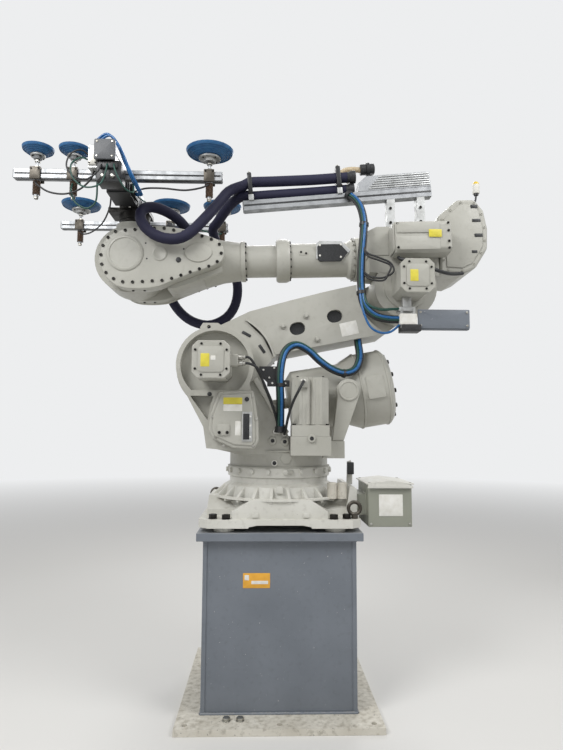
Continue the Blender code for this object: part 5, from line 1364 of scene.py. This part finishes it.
# under the beam the vacuum unit's housings; beside it the valve's plate, post, fittings and screws; then
# the bolts of the tool adapter
def vacuumGoods():
    x, z, half = gripper["beam"]
    low = z - half
    block = [nearFace(plaque(0.116, 0.105, 0.095, 0.006, edge=0.003), x + 0.014, -0.388, low - 0.056),
             nearFace(plaque(0.090, 0.030, 0.012, 0.004), x + 0.014, -0.483, low - 0.030),
             nearFace(plaque(0.104, 0.060, 0.010, 0.004, edge=0.002), x + 0.012, -0.3004, low - 0.048),
             setAt(plaque(0.120, 0.050, 0.012, 0.004, edge=0.002), (x + 0.0702, -0.210, low - 0.046),
                   (0, 1, 0), (0, 0, 1), (1, 0, 0))]
    piece("vacuum.housings", block, blackPlastic, "gripper")
    valveX, face = x + gripper["valveX"], gripper["valveFace"]
    silver = [nearFace(plaque(0.040, 0.090, 0.006, 0.003, edge=0.001), valveX, face, 2.640),
              setAt(turned(gripper["valvePost"], 20), (valveX, *gripper["valvePostAt"]))]
    silver += standing([turned(gripper["fitting"], 16)], nearFace,
                       (x - 0.010, -0.483, low - 0.084), (x + 0.036, -0.483, low - 0.084))
    piece("vacuum.fittings", silver, zincSteel, "gripper")
    spots = [(valveX + a, face - 0.006, h) for h in (2.605, 2.676) for a in (-0.015, 0.015)]
    piece("valve.screws", standing(socketHead(0.004, 0.004), nearFace, *spots), blackSteel, "gripper")
    count, r, lift = gripper["adapterBolts"]
    grids = []
    for k in range(count):
        a = 2 * k * math.pi / count + 0.3
        spot = (axis5[0] + r * math.cos(a), r * math.sin(a), axis5[2] + lift)
        grids += [setAt(g, spot) for g in socketHead(0.007, 0.006)]
    piece("adapter.bolts", grids, zincSteel, "gripper")


# the thin air lines: a radius, a finish and the knots, in metres
airLines = {
    "feed.b": (0.0062, blueHose, [
        (-0.890, -0.440, 2.712), (-0.878, -0.446, 2.742), (-0.834, -0.453, 2.758), (-0.788, -0.455, 2.700),
        (-0.752, -0.450, 2.620), (-0.724, -0.436, 2.560), (-0.706, -0.380, 2.526), (-0.712, -0.290, 2.534),
        (-0.745, -0.225, 2.556), (-0.764, -0.200, 2.568)]),
    "loop.a": (0.0040, blackRubber, [
        (-0.930, -0.470, 2.650), (-0.965, -0.486, 2.668), (-1.010, -0.496, 2.640), (-1.024, -0.500, 2.580),
        (-0.990, -0.504, 2.530), (-0.930, -0.508, 2.512), (-0.880, -0.508, 2.545), (-0.862, -0.500, 2.585),
        (-0.862, -0.476, 2.602)]),
    "loop.b": (0.0040, greenCable, [
        (-0.930, -0.470, 2.625), (-0.965, -0.484, 2.630), (-1.004, -0.496, 2.590), (-0.990, -0.506, 2.520),
        (-0.930, -0.514, 2.472), (-0.860, -0.516, 2.486), (-0.836, -0.510, 2.550), (-0.834, -0.500, 2.590),
        (-0.834, -0.476, 2.602)]),
    "loop.c": (0.0038, greenCable, [
        (-0.800, -0.476, 2.602), (-0.800, -0.505, 2.585), (-0.780, -0.516, 2.530), (-0.745, -0.490, 2.476),
        (-0.720, -0.440, 2.482), (-0.732, -0.400, 2.540), (-0.745, -0.378, 2.590)]),
    "feed": (0.0062, blueHose, [
        (-0.908, -0.440, 2.716), (-0.896, -0.444, 2.745), (-0.848, -0.450, 2.768), (-0.800, -0.450, 2.712),
        (-0.765, -0.448, 2.630), (-0.738, -0.438, 2.568), (-0.720, -0.380, 2.532), (-0.724, -0.290, 2.540),
        (-0.752, -0.235, 2.562), (-0.764, -0.210, 2.572)]),
    "near.a": (0.0045, blackRubber, [
        (-1.221, -0.364, 2.560), (-1.200, -0.392, 2.532), (-1.140, -0.404, 2.492), (-1.060, -0.410, 2.480),
        (-0.985, -0.420, 2.500), (-0.930, -0.432, 2.545), (-0.912, -0.440, 2.584)]),
    "near.b": (0.0045, greenCable, [
        (-1.039, -0.366, 2.550), (-1.034, -0.396, 2.500), (-1.008, -0.404, 2.440), (-0.952, -0.408, 2.410),
        (-0.908, -0.414, 2.440), (-0.899, -0.426, 2.520), (-0.904, -0.436, 2.584)]),
    "near.c": (0.0045, blackRubber, [
        (-0.363, -0.366, 2.560), (-0.400, -0.390, 2.530), (-0.480, -0.400, 2.512), (-0.580, -0.400, 2.520),
        (-0.670, -0.370, 2.532), (-0.735, -0.300, 2.548), (-0.764, -0.250, 2.560)]),
    "far.a": (0.0045, blackRubber, [
        (-1.234, 0.354, 2.560), (-1.200, 0.330, 2.535), (-1.120, 0.240, 2.520), (-1.020, 0.100, 2.525),
        (-0.940, -0.060, 2.545), (-0.905, -0.160, 2.565), (-0.893, -0.210, 2.575)]),
    "far.c": (0.0045, greenCable, [
        (-0.354, 0.354, 2.560), (-0.385, 0.330, 2.545), (-0.470, 0.290, 2.556), (-0.580, 0.200, 2.575),
        (-0.680, 0.060, 2.585), (-0.745, -0.070, 2.585), (-0.764, -0.150, 2.580)])}


def gripperLines():
    for name, (r, finish, knots) in airLines.items():
        cable(f"line.{name}", knots, r, finish, "gripper", sides=10)


barGoods()
cupGoods()
vacuumGoods()
gripperLines()
print("gripper dressed")


# a pale disc whose paint fades with distance into the pale world behind it
def stageFloor():
    material, tree, shader, where = newFinish("studio floor", 0.75)
    shader.inputs["Base Color"].default_value = tone("#D9D8D5")
    shader.inputs["Specular IOR Level"].default_value = 0.2
    far = addNode(tree, "ShaderNodeVectorMath", {0: where}, operation="LENGTH").outputs["Value"]
    glow = addNode(tree, "ShaderNodeEmission", {"Color": tone(studio["behind"]), "Strength": 1.0})
    fade = ranged(tree, far, 3.5, 14.0)
    mixed = addNode(tree, "ShaderNodeMixShader", {0: fade, 1: shader.outputs[0], 2: glow.outputs[0]})
    tree.links.new(mixed.outputs[0], tree.nodes["Material Output"].inputs["Surface"])
    mesh = bpy.data.meshes.new("floor")
    edge = ring(60.0, 48)
    mesh.from_pydata(np.column_stack([edge, np.zeros(48)]).tolist(), [], [list(range(48))])
    mesh.materials.append(material)
    floor = bpy.data.objects.new("floor", mesh)
    bpy.context.scene.collection.objects.link(floor)
    floor.location.z = -0.0005


def studioWorld():
    world = bpy.data.worlds.new("studio")
    bpy.context.scene.world = world
    world.use_nodes = True
    tree = world.node_tree
    tree.nodes.clear()
    rays = addNode(tree, "ShaderNodeLightPath")
    seen = addNode(tree, "ShaderNodeMath", {0: rays.outputs["Is Camera Ray"],
                                            1: rays.outputs["Is Glossy Ray"]},
                   operation="MAXIMUM").outputs[0]
    seen = addNode(tree, "ShaderNodeMath", {0: seen, 1: rays.outputs["Is Transmission Ray"]},
                   operation="MAXIMUM").outputs[0]
    soft = addNode(tree, "ShaderNodeBackground", {"Color": tone("#FFFFFF"), "Strength": studio["fill"]})
    back = addNode(tree, "ShaderNodeBackground", {"Color": tone(studio["behind"]), "Strength": 1.0})
    mixed = addNode(tree, "ShaderNodeMixShader", {0: seen, 1: soft.outputs[0], 2: back.outputs[0]})
    addNode(tree, "ShaderNodeOutputWorld", {"Surface": mixed.outputs[0]})


studio = {"behind": "#EDEEEF", "fill": 0.42,
          "lamps": [((-2.6, -3.2, 4.6), 2.4, 150), ((2.8, -2.2, 4.8), 2.4, 95), ((0.5, 3.2, 4.4), 2.6, 90)],
          "aim": (0.0, 0.0, 1.5)}
stageFloor()
studioWorld()
for number, (place, size, watts) in enumerate(studio["lamps"]):
    lamp = bpy.data.lights.new(f"softbox {number + 1}", "AREA")
    lamp.shape, lamp.size, lamp.energy = "DISK", size, watts
    ob = bpy.data.objects.new(lamp.name, lamp)
    ob.location = place
    ob.rotation_euler = (Vector(studio["aim"]) - Vector(place)).to_track_quat("-Z", "Y").to_euler()
    bpy.context.scene.collection.objects.link(ob)

view = {"place": (-0.0728, -3.1362, 1.3385), "pitch": 5.4858, "yaw": 1.5713, "roll": 0.2526, "lens": 27.52}
pitch, yaw, roll = (math.radians(view[k]) for k in ("pitch", "yaw", "roll"))
ahead = Vector((math.sin(yaw) * math.cos(pitch), math.cos(yaw) * math.cos(pitch), math.sin(pitch)))
right = ahead.cross(Vector((0, 0, 1))).normalized()
over = right.cross(ahead)
right, over = (math.cos(roll) * right + math.sin(roll) * over, math.cos(roll) * over - math.sin(roll) * right)
lens = bpy.data.cameras.new("camera")
lens.sensor_fit, lens.sensor_height, lens.lens = "VERTICAL", 36.0, view["lens"]
lens.clip_end = 200
camera = bpy.data.objects.new("camera", lens)
camera.matrix_world = Matrix(((right.x, over.x, -ahead.x, view["place"][0]),
                              (right.y, over.y, -ahead.y, view["place"][1]),
                              (right.z, over.z, -ahead.z, view["place"][2]), (0, 0, 0, 1)))
bpy.context.scene.collection.objects.link(camera)
bpy.context.scene.camera = camera
bpy.context.scene.view_settings.view_transform = "Standard"
print("stage, lamps and camera set")
